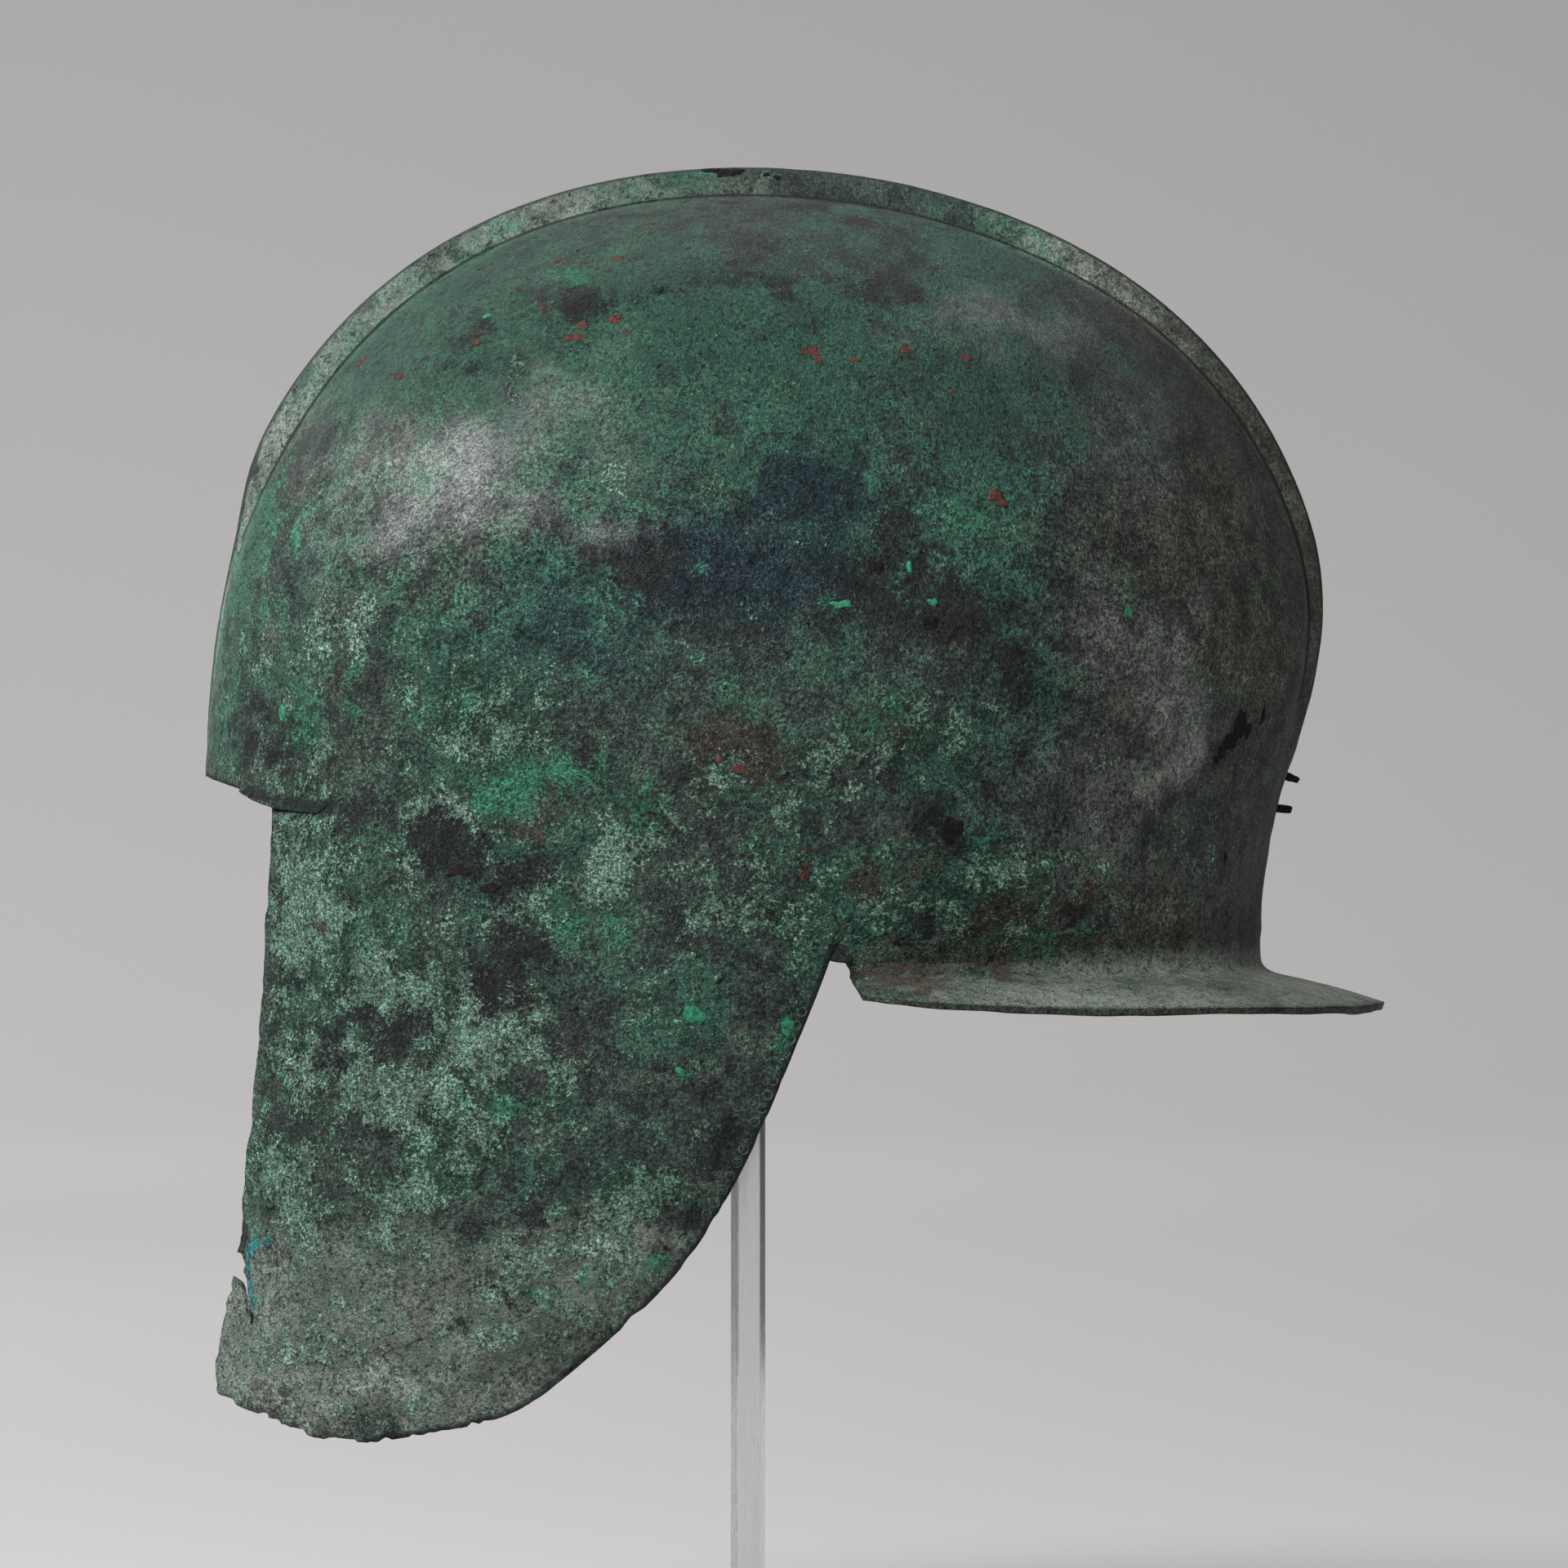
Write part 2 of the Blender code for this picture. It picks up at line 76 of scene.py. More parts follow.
def joinAs(name, pieces):
    only(*pieces)
    bpy.ops.object.join()
    joined = bpy.context.object
    joined.name = name
    return joined


def creaseAndSmooth(piece, look):
    # sharp edges keep their crease while the rest is rounded
    editMode(piece, "EDGE", "DESELECT")
    bpy.ops.mesh.edges_select_sharp(sharpness=math.radians(look["rimAngle"]))
    bpy.ops.transform.edge_crease(value=look["crease"])
    objectMode()
    smooth = piece.modifiers.new("smooth", "SUBSURF")
    smooth.levels = smooth.render_levels = look["levels"]
    bpy.ops.object.modifier_apply(modifier=smooth.name)


# Camera: level with the flank, far off, so the side view is nearly flat
camera = {
    "distance": 2.1,  # from the helmet's middle plane
    "across": 0.33274,  # what the frame spans at that plane
    "place": (-0.0026, 0.1993),  # x and z that it looks at
    "sensor": 36.0,
    "pixels": 1920,
    "clipEnd": 50,
}
pixel = camera["across"] / camera["pixels"]  # metres at the middle plane
middlePixel = camera["pixels"] / 2


def makeCamera():
    x, z = camera["place"]
    place = (x, -camera["distance"], z)
    bpy.ops.object.camera_add(location=place, rotation=(math.radians(90), 0, 0))
    made = bpy.context.object
    made.name = "side_view_camera"
    made.data.sensor_width = camera["sensor"]
    made.data.lens = camera["sensor"] * camera["distance"] / camera["across"]
    made.data.clip_end = camera["clipEnd"]
    bpy.context.scene.camera = made
    print("camera", round(made.data.lens, 1), "mm")


def seenPoint(x, y):
    # the start and the direction of the look through a place in the photo
    start = Vector((camera["place"][0], -camera["distance"], camera["place"][1]))
    across, up = (x - middlePixel) * pixel, (middlePixel - y) * pixel
    aim = start + Vector((across, camera["distance"], up))
    return start, (aim - start).normalized()


# Studio: a round sweep of pale paper, a key and a fill from the front left, a weak light from
# above, and three lights on the paper
studio = {
    "floorRadius": 3.6,
    "corners": 96,
    "bend": 2.2,
    "bendSteps": 12,
    "wallTop": 4.0,
    "paper": (0.490, 0.482, 0.481),
    "paperRoughness": 0.9,
    "paperSpecular": 0.1,
    "world": (0.07, 0.07, 0.072),
    "aim": (-0.007, 0.0, 0.2),
    "spread": 150,
    # direction from the helmet, distance, size, power
    "key": ((-0.75, -0.25, 0.60), 2.0, 0.55, 28.5),
    "top": ((0.46, 0.35, 0.80), 1.9, 1.2, 2.0),
    "fill": ((-0.25, -0.75, 0.62), 2.3, 0.45, 25.0),
    # place, aim, size, power, colour
    "paperLights": (
        ((-0.2, 3.0, 3.0), (-0.3, 3.45, 0.0), 2.4, 55.0, (1.0, 0.985, 0.98)),
        ((-1.3, 1.45, 1.1), (-0.6, 1.45, 0.0), 1.1, 8.0, (1.0, 1.0, 1.0)),
        ((-1.7, 3.0, 1.1), (-0.9, 4.8, 0.1), 1.5, 10.0, (1.0, 1.0, 1.0)),
    ),
}


def aimLight(name, place, aim, size, power, colour=(1, 1, 1)):
    bpy.ops.object.light_add(type="AREA", location=place)
    light = bpy.context.object
    light.name = name
    light.data.shape = "RECTANGLE"
    light.data.size = light.data.size_y = size
    light.data.energy = power
    light.data.color = colour
    light.rotation_euler = (Vector(aim) - Vector(place)).to_track_quat("-Z", "Y").to_euler()
    light.data.spread = math.radians(studio["spread"])
    light.visible_camera = False


def makeSweep():
    s = studio
    radius, height = s["floorRadius"], 0.0
    bpy.ops.mesh.primitive_circle_add(vertices=s["corners"], radius=radius, fill_type="TRIFAN")
    sweep = bpy.context.object
    sweep.name = "paper_sweep"
    editMode(sweep, "EDGE")
    # round by round up the bend, then the wall
    quarter = math.radians(90)
    turns = [quarter * (step + 1) / s["bendSteps"] for step in range(s["bendSteps"])]
    rounds = [(radius + s["bend"] * math.sin(t), s["bend"] * (1 - math.cos(t))) for t in turns]
    for nextRadius, nextHeight in [*rounds, (rounds[-1][0], s["wallTop"])]:
        bpy.ops.mesh.select_all(action="DESELECT")
        bpy.ops.mesh.select_non_manifold()
        rise = (0, 0, nextHeight - height)
        bpy.ops.mesh.extrude_region_move(TRANSFORM_OT_translate={"value": rise})
        grown = nextRadius / radius
        bpy.ops.transform.resize(value=(grown, grown, 1))
        radius, height = nextRadius, nextHeight
    bpy.ops.mesh.select_all(action="SELECT")
    bpy.ops.mesh.normals_make_consistent(inside=False)
    bpy.ops.mesh.flip_normals()
    objectMode()
    shadeSmooth(sweep)
    material, tree, shader, _ = newMaterial("pale_paper")
    feedAll(tree, shader, {
        "Base Color": s["paper"],
        "Roughness": s["paperRoughness"],
        "Specular IOR Level": s["paperSpecular"],
    })
    sweep.data.materials.append(material)


def makeStudio():
    s = studio
    makeSweep()
    world = bpy.data.worlds.new("room")
    bpy.context.scene.world = world
    world.use_nodes = True
    feedAll(world.node_tree, world.node_tree.nodes["Background"], {"Color": s["world"]})
    for name in ("key", "top", "fill"):
        direction, distance, size, power = s[name]
        place = Vector(s["aim"]) + Vector(direction).normalized() * distance
        aimLight(name + "_softbox", place, s["aim"], size, power)
    for number, settings in enumerate(s["paperLights"]):
        aimLight(f"paper_light_{number}", *settings)
    print("studio ready")


# Numeric helpers on arrays of points
seedShift = (13.7, 7.3, 3.1)
roughening = (0.7, 2.1)  # how fast the octaves weaken, and how much finer each one is


def fractalAt(points, size, octaves, seed):
    shift = Vector([seed * each for each in seedShift])
    return np.array([noise.fractal(Vector(p) / size + shift, *roughening, octaves) for p in points])


def smoothStep(low, high, values):
    t = np.clip((values - low) / (high - low), 0, 1)
    return t * t * (3 - 2 * t)


def treeOfPoints(points):
    tree = KDTree(len(points))
    for i, point in enumerate(points):
        tree.insert(point, i)
    tree.balance()
    return tree


# Helmet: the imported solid, merged, smoothed and worn
helmetLook = {
    "levels": 2,
    "crease": 1.0,
    "rimAngle": 50,
    "grooveAngle": 18,
    "grooveLevel": 0.205,
    "crestReach": 0.024,  # half of the ridges' width, with their beads
    "edgeSpacing": 0.0005,  # between the points taken along an edge
    "centre": (-0.0069, 0.0, 0.2132),  # middle of the bowl at the flank's level
    "bowl": (0.116, 0.093, 0.112),  # its half length, half width and height
    "lowTilt": 0.15,  # what is left of the outward rise below the flank
    "outer": (-0.2, 0.2),  # how a normal turns from the inside to the outside
    "flangeLevel": 0.164,
    "flangeTop": (0.004, 0.005),  # above its level, and from which x it faces up
    "flangeEdge": (0.003, 0.012),  # the same, for the edge that isn't worn dark
    "flangeLean": 0.02,
    "merge": 0.00001,
    "flat": 40,  # how flat and how square two triangles are that become one face
    "square": 60,
    "relief": {
        # depth, size, octaves, seed
        "dents": (0.0007, 0.050, 2, 1),
        "hammering": (0.00024, 0.013, 2, 2),
        "crust": (0.00034, 0.0042, 3, 3),
        "flakes": (0.00070, 0.0070, 3, 5),  # on the foot of the cheekpieces
        "calmCrest": 0.75,
        "underCrust": (0.5, 1.2),  # share of the fine relief, and what full crust adds
        "flakeStretch": (1, 0.5, 1.6),
        "flakeFoot": (0.125, 0.095),
        "flakeBefore": 0.04,
        "flakeStep": (0.0, 0.18),
    },
    "nicks": {
        "reach": 0.0050,  # how far from the rim they fade out
        "foot": 0.0008,
        "side": 0.0003,
        "cheekBefore": 0.045,
        "cheekBelow": 0.186,
        "footHeight": (0.098, 0.084),
        "footAlong": (0.005, -0.020),
        "stretch": (1, 0.3, 1),
        "tooth": (0.0045, 3, 4),  # size, octaves, seed
        "toothStep": (0.05, 0.45),
        "aim": (-0.058, 0.0, 0.135),  # middle of the cheekpiece
    },
    # the crack at the left brow's corner, whose upper lip hangs over the lower one
    "crack": {
        "corner": (-0.1086, 0.1960),
        "length": 0.0125,
        "drop": 0.0012,
        "forward": 0.0012,
        "proud": 0.0005,
        "arc": (0.0018, 2.6),  # sag of its line, and how far round the arc it goes
        "lip": (0.0032, 0.0006),
        "under": -0.0001,
        "end": (1.0, 0.75),
        "before": 0.007,
        "leftOf": -0.02,
        "tip": (0.006, -0.001),
    },
    # darker along the plate's sharp edges: partly wear, partly painted shade of the edges; at the
    # brow a wider band of painted shade under its rim
    "rimWearAndShade": {
        "reach": (0.0030, 0.0004),
        "browReach": (0.0018, 0.0009),
        "grooveReach": (0.0018, 0.0010),
        "lessOnCrest": 0.8,
        "lessInFront": 0.5,
    },
    # zones that the patina follows: where each one starts and is full
    "zones": {
        "height": {
            # crown: the colour there is also darkened as painted shade
            "cheek": (0.235, 0.190), "foot": (0.122, 0.094), "crown": (0.25, 0.29),
            "crestFoot": (0.20, 0.23), "flangeTop": (0.168, 0.163), "browLevel": (0.192, 0.194),
        },
        "along": {
            "back": (0.025, 0.100), "front": (0.005, -0.045), "frontEdge": (-0.085, -0.095),
            "browAlong": (-0.075, -0.085), "middleStart": (-0.025, 0.005),
            "middleEnd": (0.085, 0.060), "rearStart": (0.030, 0.055), "rearEnd": (0.070, 0.092),
            "flangeStart": (0.010, 0.016), "flangeBack": (0.02, 0.06), "flangeFront": (0.07, 0.02),
        },
        "across": {
            "crestSide": (0.0255, 0.0195), "faceOut": (0.0175, 0.0160), "faceIn": (0.0105, 0.0125),
            "ridgeOut": (0.0128, 0.0121), "ridgeIn": (0.0085, 0.0100),
        },
    },
    "clouds": {
        # size, octaves, seed
        "broad": (0.022, 4, 21),
        "middle": (0.010, 4, 22),
        "charred": (0.024, 4, 23),
        "bright": (0.014, 4, 24),
        "wide": (0.045, 3, 25),
        "matt": (0.017, 4, 26),
        "streaks": (0.006, 3, 28),
    },
    "streakStretch": (0.35, 1, 1),
    # every mask as a sum of products: a share, and what it is multiplied with
    "blends": {
        "crest": ((1, "crestSide", "crestFoot", "outer"),),
        "flange": ((1, "flangeTop", "flangeStart", "outer"),),
        "face": ((1, "crest", "faceOut", "faceIn"),),
        "ridge": ((1, "crest", "ridgeOut", "ridgeIn"),),
        "brow": ((1, "browAlong", "browLevel"),),
        "crestRear": ((1, "crest", "rearStart"), (-0.6, "crest", "rearStart", "rearEnd")),
        "crust": (
            (0.72, "crust"), (0.06,), (0.20, "cheek"), (-0.14, "back"), (0.24, "broad"),
            (0.24, "middle"), (-0.10, "foot"),
        ),
        "charcoal": ((0.9, "charcoal"), (0.28, "charred"), (0.06, "back"), (-0.25, "face")),
        "vivid": ((0.8, "vivid"), (0.32, "bright"), (-0.0064,), (-0.15, "back")),
        "dull": ((1, "back"), (0.45, "back", "matt"), (0.8, "foot", "matt"), (0.10, "foot")),
        "verdigris": (
            (0.50,), (0.5, "broad"), (0.4, "wide"), (-0.18, "back"), (0.30, "vivid"),
            (0.25, "crown"), (-0.25, "crown", "back"), (-0.4, "flange"),
            (-0.55, "crest", "middleStart", "middleEnd"),
        ),
        "ash": (
            (1, "ash"), (0.85, "foot"), (0.9, "foot", "broad"), (0.3, "middle"), (0.10, "cheek"),
            # the ash on the front of the ridges' face is partly a painted highlight
            (0.35, "crestRear"), (0.60, "face", "front"), (0.30, "flange"),
            (0.50, "flange", "flangeBack"),
        ),
        # the crest's rear part is made lighter: painted light
        "lighter": ((1, "lighter"), (0.75, "crestRear")),
        "umber": (
            (1, "umber"), (0.02, "flange"), (0.22, "flange", "flangeFront"),
            (0.45, "flange", "streaks"),
        ),
    },
    "stainEdges": {
        "warp": (0.016, 4, 0.009),  # size, octaves and width of the wavering edges
        "warpSeeds": (11, 12),
        "fullWarp": 45,  # photo pixels from which a stain wavers in full
        "flank": 0.08,  # how far the flank lies before the middle plane
        "widened": 0.96,
        "falloff": 0.9,
        "seed": 7,
        # on the side that isn't seen
        "moved": 0.02,
        "resized": (0.7, 1.4),
    },
}

# Where the patina changes on the left side: photo x, y, reach across, reach down, strength
stains = {
    "crust": (
        (360, 1010, 45, 40, 0.9), (388, 1122, 55, 50, 1.0), (345, 1065, 25, 60, 0.8),
        (472, 1199, 70, 42, 0.9), (540, 1185, 40, 32, 0.9), (426, 1336, 85, 26, 1.0),
        (350, 1340, 40, 60, 0.8), (500, 1350, 55, 40, 0.8), (612, 1256, 45, 60, 0.9),
        (644, 1300, 60, 30, 0.9), (580, 1400, 80, 36, 0.6), (350, 1466, 42, 70, 0.9),
        (470, 1500, 60, 45, 0.6), (778, 1026, 80, 36, 0.9), (730, 1080, 50, 30, 0.6),
        (860, 1010, 50, 40, 0.7), (568, 1015, 48, 18, 0.9), (503, 1070, 22, 16, 0.8),
        (560, 1120, 20, 14, 0.6), (778, 1466, 55, 40, 0.8), (700, 1550, 100, 36, 0.7),
        (560, 1585, 90, 42, 0.45), (400, 1600, 90, 50, 0.5), (330, 1650, 60, 55, 0.45),
        (480, 1660, 120, 36, 0.45), (640, 1655, 90, 36, 0.55), (430, 1735, 80, 18, 0.4),
        (905, 1100, 60, 40, 0.6), (640, 1110, 40, 50, 0.5), (300, 800, 20, 50, 0.4),
        (352, 905, 40, 34, 0.35), (838, 580, 60, 50, 0.2), (876, 810, 60, 40, 0.7),
        (1045, 928, 60, 34, 0.8), (823, 990, 60, 30, 0.8), (1120, 870, 90, 34, 0.5),
        (650, 880, 120, 60, 0.5), (400, 790, 70, 70, 0.6), (600, 1300, 60, 50, 0.8),
        (1150, 1110, 60, 40, 0.5), (1250, 1070, 60, 30, 0.35), (470, 880, 60, 40, 0.5),
        (770, 1590, 60, 26, 0.8), (560, 1270, 30, 24, 0.5), (1368, 936, 30, 14, 0.6),
        (620, 1220, 60, 50, 0.4),
    ),
    "charcoal": (
        (560, 1055, 62, 34, 1.0), (610, 1088, 60, 28, 1.0), (506, 1036, 36, 26, 0.9),
        (434, 988, 20, 24, 0.9), (452, 955, 26, 10, 0.8), (464, 1264, 74, 32, 1.0),
        (418, 1302, 36, 28, 0.9), (342, 1195, 30, 18, 0.9), (583, 1190, 26, 44, 0.9),
        (650, 1165, 34, 46, 0.7), (735, 1240, 60, 40, 0.7), (434, 1375, 22, 60, 0.8),
        (545, 1450, 50, 26, 0.7), (667, 1489, 76, 46, 0.6), (855, 1495, 26, 22, 0.9),
        (878, 1400, 28, 40, 0.7), (600, 1590, 60, 24, 0.7), (460, 1705, 50, 18, 0.6),
        (1068, 690, 60, 60, 1.0), (1050, 755, 100, 46, 0.85), (1225, 1130, 36, 24, 0.7),
        (1122, 1122, 20, 17, 1.0), (1167, 1016, 34, 36, 0.9), (1240, 830, 36, 34, 0.8),
        (330, 905, 22, 34, 0.8), (305, 905, 30, 30, 0.5), (289, 880, 12, 40, 0.8),
        (700, 672, 60, 20, 0.7), (380, 1010, 16, 50, 0.5), (930, 560, 40, 20, 0.6),
        (340, 700, 24, 40, 0.5), (1100, 960, 60, 40, 0.5), (960, 1340, 24, 60, 0.5),
        (450, 800, 50, 40, 0.4), (900, 1300, 40, 60, 0.5), (780, 1190, 60, 40, 0.5),
        (1300, 1130, 70, 30, 0.6), (885, 212, 26, 8, 1.0), (900, 330, 140, 44, 0.85),
        (700, 350, 76, 40, 0.75), (1000, 228, 120, 14, 0.8), (1075, 350, 80, 36, 0.75),
        (985, 400, 50, 16, 0.6), (560, 405, 46, 36, 0.65), (480, 400, 26, 46, 0.5),
        (366, 548, 16, 30, 0.6), (300, 842, 18, 22, 0.8), (285, 932, 26, 12, 0.7),
        (318, 866, 12, 18, 0.8), (560, 1062, 46, 40, 0.6), (985, 590, 36, 26, 0.55),
        (800, 700, 70, 46, 0.65), (1180, 745, 50, 44, 0.9), (1110, 640, 44, 30, 0.6),
    ),
    "azurite": (
        (985, 610, 70, 44, 1.2), (900, 700, 125, 58, 1.3), (1050, 715, 80, 56, 1.2),
        (700, 790, 120, 50, 0.7), (800, 690, 80, 46, 0.9), (1080, 640, 50, 40, 0.9),
        (620, 745, 46, 34, 0.5), (365, 690, 26, 40, 0.5), (760, 690, 60, 40, 0.5),
    ),
    "vivid": (
        (645, 962, 80, 28, 1.1), (720, 945, 60, 26, 0.9), (560, 945, 50, 24, 0.7),
        (850, 1243, 17, 15, 1.2), (833, 1312, 9, 9, 1.1), (966, 1257, 14, 18, 1.0),
        (1032, 740, 20, 7, 1.2), (1141, 737, 9, 7, 1.1), (1114, 695, 4, 12, 1.0),
        (700, 1580, 46, 12, 0.8), (805, 1560, 30, 12, 0.8), (345, 870, 16, 46, 0.8),
        (800, 955, 70, 24, 0.7), (1000, 1150, 30, 24, 0.7), (935, 1130, 26, 20, 0.7),
        (430, 845, 50, 26, 0.7), (1040, 880, 70, 24, 0.6), (305, 640, 12, 60, 0.8),
        (860, 800, 60, 30, 0.5), (590, 850, 90, 30, 0.5), (1383, 750, 10, 10, 0.9),
        (740, 1130, 40, 24, 0.5), (330, 1370, 16, 70, 0.6), (620, 1370, 60, 24, 0.5),
        (690, 300, 60, 30, 0.6), (1090, 480, 60, 24, 0.5), (1180, 620, 70, 30, 0.4),
        (1200, 1010, 30, 30, 0.5), (1320, 1180, 60, 14, 0.6), (1502, 815, 12, 44, 0.8),
        (560, 480, 70, 30, 0.5), (350, 620, 30, 60, 0.6),
    ),
    "umber": (
        (644, 1019, 44, 26, 0.9), (905, 935, 52, 34, 1.0), (1156, 770, 44, 26, 1.0),
        (1215, 765, 50, 24, 0.7), (1110, 1030, 36, 20, 0.7), (1225, 1140, 50, 30, 1.3),
        (1310, 1120, 50, 26, 0.9), (1052, 1085, 34, 40, 0.8), (1120, 1196, 60, 12, 0.9),
        (383, 1135, 18, 14, 0.8), (480, 520, 30, 26, 0.5), (1330, 1150, 60, 20, 0.6),
        (700, 1490, 40, 30, 0.6), (355, 560, 20, 30, 0.6), (1110, 910, 40, 30, 0.6),
        (1497, 819, 7, 12, 0.9), (420, 1650, 50, 26, 0.5), (480, 1685, 50, 20, 0.5),
    ),
    "turquoise": (
        (300, 1560, 5, 44, 1.3), (302, 1535, 5, 12, 0.9), (880, 700, 30, 20, 0.3),
    ),
    # glossier grey places: their gloss is real, and their lighter grey colour is partly patina and
    # partly a painted highlight
    "sheen": (
        (580, 570, 95, 70, 1.0), (400, 760, 60, 80, 0.45), (660, 650, 90, 34, 0.8),
        (500, 640, 60, 40, 0.7), (1440, 860, 36, 110, 1.3), (1380, 780, 70, 80, 0.8),
        (1290, 385, 50, 14, 0.8), (1400, 560, 70, 90, 0.6), (1330, 980, 90, 90, 0.8),
        (1480, 660, 40, 60, 0.5), (1500, 1050, 50, 80, 0.5), (1240, 500, 90, 60, 0.25),
        (460, 500, 50, 40, 0.6), (1220, 405, 90, 34, 0.7), (490, 565, 90, 76, 0.7),
        (680, 510, 120, 66, 0.6), (620, 600, 70, 50, 0.6), (410, 640, 50, 50, 0.4),
    ),
    "ash": (
        (1440, 815, 26, 50, 0.7), (1445, 925, 30, 40, 0.75), (320, 1660, 60, 60, 0.5),
        (600, 1620, 60, 40, 0.5), (740, 1540, 60, 44, 0.9),
    ),
    # painted light and shade, with some of the patina's own tone: where the colour as a whole is
    # made lighter or darker
    "lighter": (
        (1150, 1130, 60, 40, 0.55), (1300, 1100, 80, 50, 0.75), (1420, 1130, 80, 50, 0.8),
        (1085, 1150, 26, 30, 0.55), (1520, 815, 44, 56, 1.0), (1562, 840, 30, 80, 0.85),
        (1530, 960, 40, 50, 0.5), (1440, 810, 40, 50, 0.5), (1440, 925, 40, 46, 0.6),
        (700, 480, 90, 50, 0.4), (480, 560, 80, 60, 0.35), (400, 640, 50, 60, 0.25),
        (1150, 380, 80, 40, 0.25), (320, 1660, 60, 60, 0.35), (600, 1620, 80, 44, 0.55),
        (740, 1540, 70, 46, 0.8), (480, 1720, 110, 24, 0.5), (440, 1640, 70, 40, 0.2),
        (600, 1300, 80, 60, 0.25), (400, 780, 70, 60, 0.18), (1600, 1225, 70, 20, 0.18),
        (1400, 1215, 100, 12, 0.12), (1350, 500, 70, 60, 0.1), (1500, 640, 40, 60, 0.12),
        (1480, 1080, 50, 50, 0.1),
    ),
    # painted shade, with some darker tone
    "darker": (
        (1200, 520, 70, 60, 0.25), (600, 850, 60, 50, 0.22), (1480, 885, 18, 30, 0.6),
        (560, 1060, 50, 30, 0.2), (700, 950, 50, 30, 0.1),
    ),
}

def copyNode(name, newName):
    look = helmetLook
    node = cadNodes[name]
    piece = node.copy()
    piece.data = node.data.copy()
    piece.name = newName
    piece.parent = None
    for key in list(piece.keys()):
        del piece[key]
    bpy.context.scene.collection.objects.link(piece)
    editMode(piece)
    bpy.ops.mesh.remove_doubles(threshold=look["merge"])
    flat, square = math.radians(look["flat"]), math.radians(look["square"])
    bpy.ops.mesh.tris_convert_to_quads(face_threshold=flat, shape_threshold=square)
    objectMode()
    if piece.data.has_custom_normals:
        only(piece)
        bpy.ops.mesh.customdata_custom_splitnormals_clear()
    return piece


def verticesOf(piece, what="co"):
    values = np.zeros(len(piece.data.vertices) * 3)
    source = piece.data.vertices if what == "co" else piece.data.vertex_normals
    source.foreach_get("co" if what == "co" else "vector", values)
    return values.reshape(-1, 3)


def putVertices(piece, points):
    piece.data.vertices.foreach_set("co", np.asarray(points, float).ravel())
    piece.data.update()


def keepInside(piece, points, box):
    low, high = (np.array(c) for c in box)
    putVertices(piece, np.clip(points, low, high))


def putMask(piece, name, values):
    mask = piece.data.attributes.new(name, "FLOAT", "POINT")
    mask.data.foreach_set("value", np.asarray(values, float))


def onFlange(points, name):
    up, start = helmetLook[name]
    return (points[:, 2] < helmetLook["flangeLevel"] + up) & (points[:, 0] > start)


def outwardAt(points):
    look = helmetLook
    away = (points - np.array(look["centre"])) / np.array(look["bowl"]) ** 2
    away[points[:, 2] < look["centre"][2], 2] *= look["lowTilt"]
    flange = onFlange(points, "flangeTop")
    away[flange] *= look["flangeLean"]
    away[flange, 2] = 1.0
    return away / np.linalg.norm(away, axis=1, keepdims=True)


def edgeTrees(piece):
    # points along the plate's sharp edges, and along the hollow foot of the ridges
    look = helmetLook
    sharp = bmesh.new()
    sharp.from_mesh(piece.data)
    rim, groove = [], []
    for edge in sharp.edges:
        if not edge.is_manifold:
            continue
        angle = math.degrees(edge.calc_face_angle_signed(0))
        a, b = (v.co.copy() for v in edge.verts)
        count = max(2, int((a - b).length / look["edgeSpacing"]))
        points = [a.lerp(b, i / count) for i in range(count)]
        if abs(angle) > look["rimAngle"]:
            rim += points
        onCrest = a.z > look["grooveLevel"] and abs(a.y) < look["crestReach"]
        if onCrest and angle < -look["grooveAngle"]:
            groove += points
    sharp.free()
    print("edges", len(rim), "and", len(groove), "points")
    return treeOfPoints(rim), treeOfPoints(groove)


def wearEdges(points, rim):
    nicks = helmetLook["nicks"]
    x, z = points[:, 0], points[:, 2]
    distance = np.array([rim.find(p)[2] for p in points])
    near = np.clip(1 - distance / nicks["reach"], 0, 1)
    cheek = (x < nicks["cheekBefore"]) & (z < nicks["cheekBelow"])
    foot = cheek * smoothStep(*nicks["footHeight"], z) * smoothStep(*nicks["footAlong"], x)
    tooth = fractalAt(points * nicks["stretch"], *nicks["tooth"])
    tooth = smoothStep(*nicks["toothStep"], tooth)
    depth = (nicks["foot"] * foot + nicks["side"] * cheek * (1 - foot)) * tooth
    inward = np.array(nicks["aim"]) - points
    inward[:, 1] = 0
    inward /= np.linalg.norm(inward, axis=1, keepdims=True)
    return points + inward * (depth * near)[:, None], distance


def addRelief(points, outward, outer, masks):
    relief = helmetLook["relief"]
    calm = 1 - relief["calmCrest"] * masks["crest"]
    least, more = relief["underCrust"]
    crusted = outer * calm * (least + more * masks["crust"])
    shift = np.zeros(len(points))
    for name, share in (("dents", calm), ("hammering", calm), ("crust", crusted)):
        depth, *cloud = relief[name]
        shift += share * depth * fractalAt(points, *cloud)
    depth, *cloud = relief["flakes"]
    ledge = fractalAt(points * relief["flakeStretch"], *cloud)
    foot = smoothStep(*relief["flakeFoot"], points[:, 2]) * (points[:, 0] < relief["flakeBefore"])
    shift += outer * depth * foot * (smoothStep(*relief["flakeStep"], ledge) - 0.5)
    return points + outward * shift[:, None]


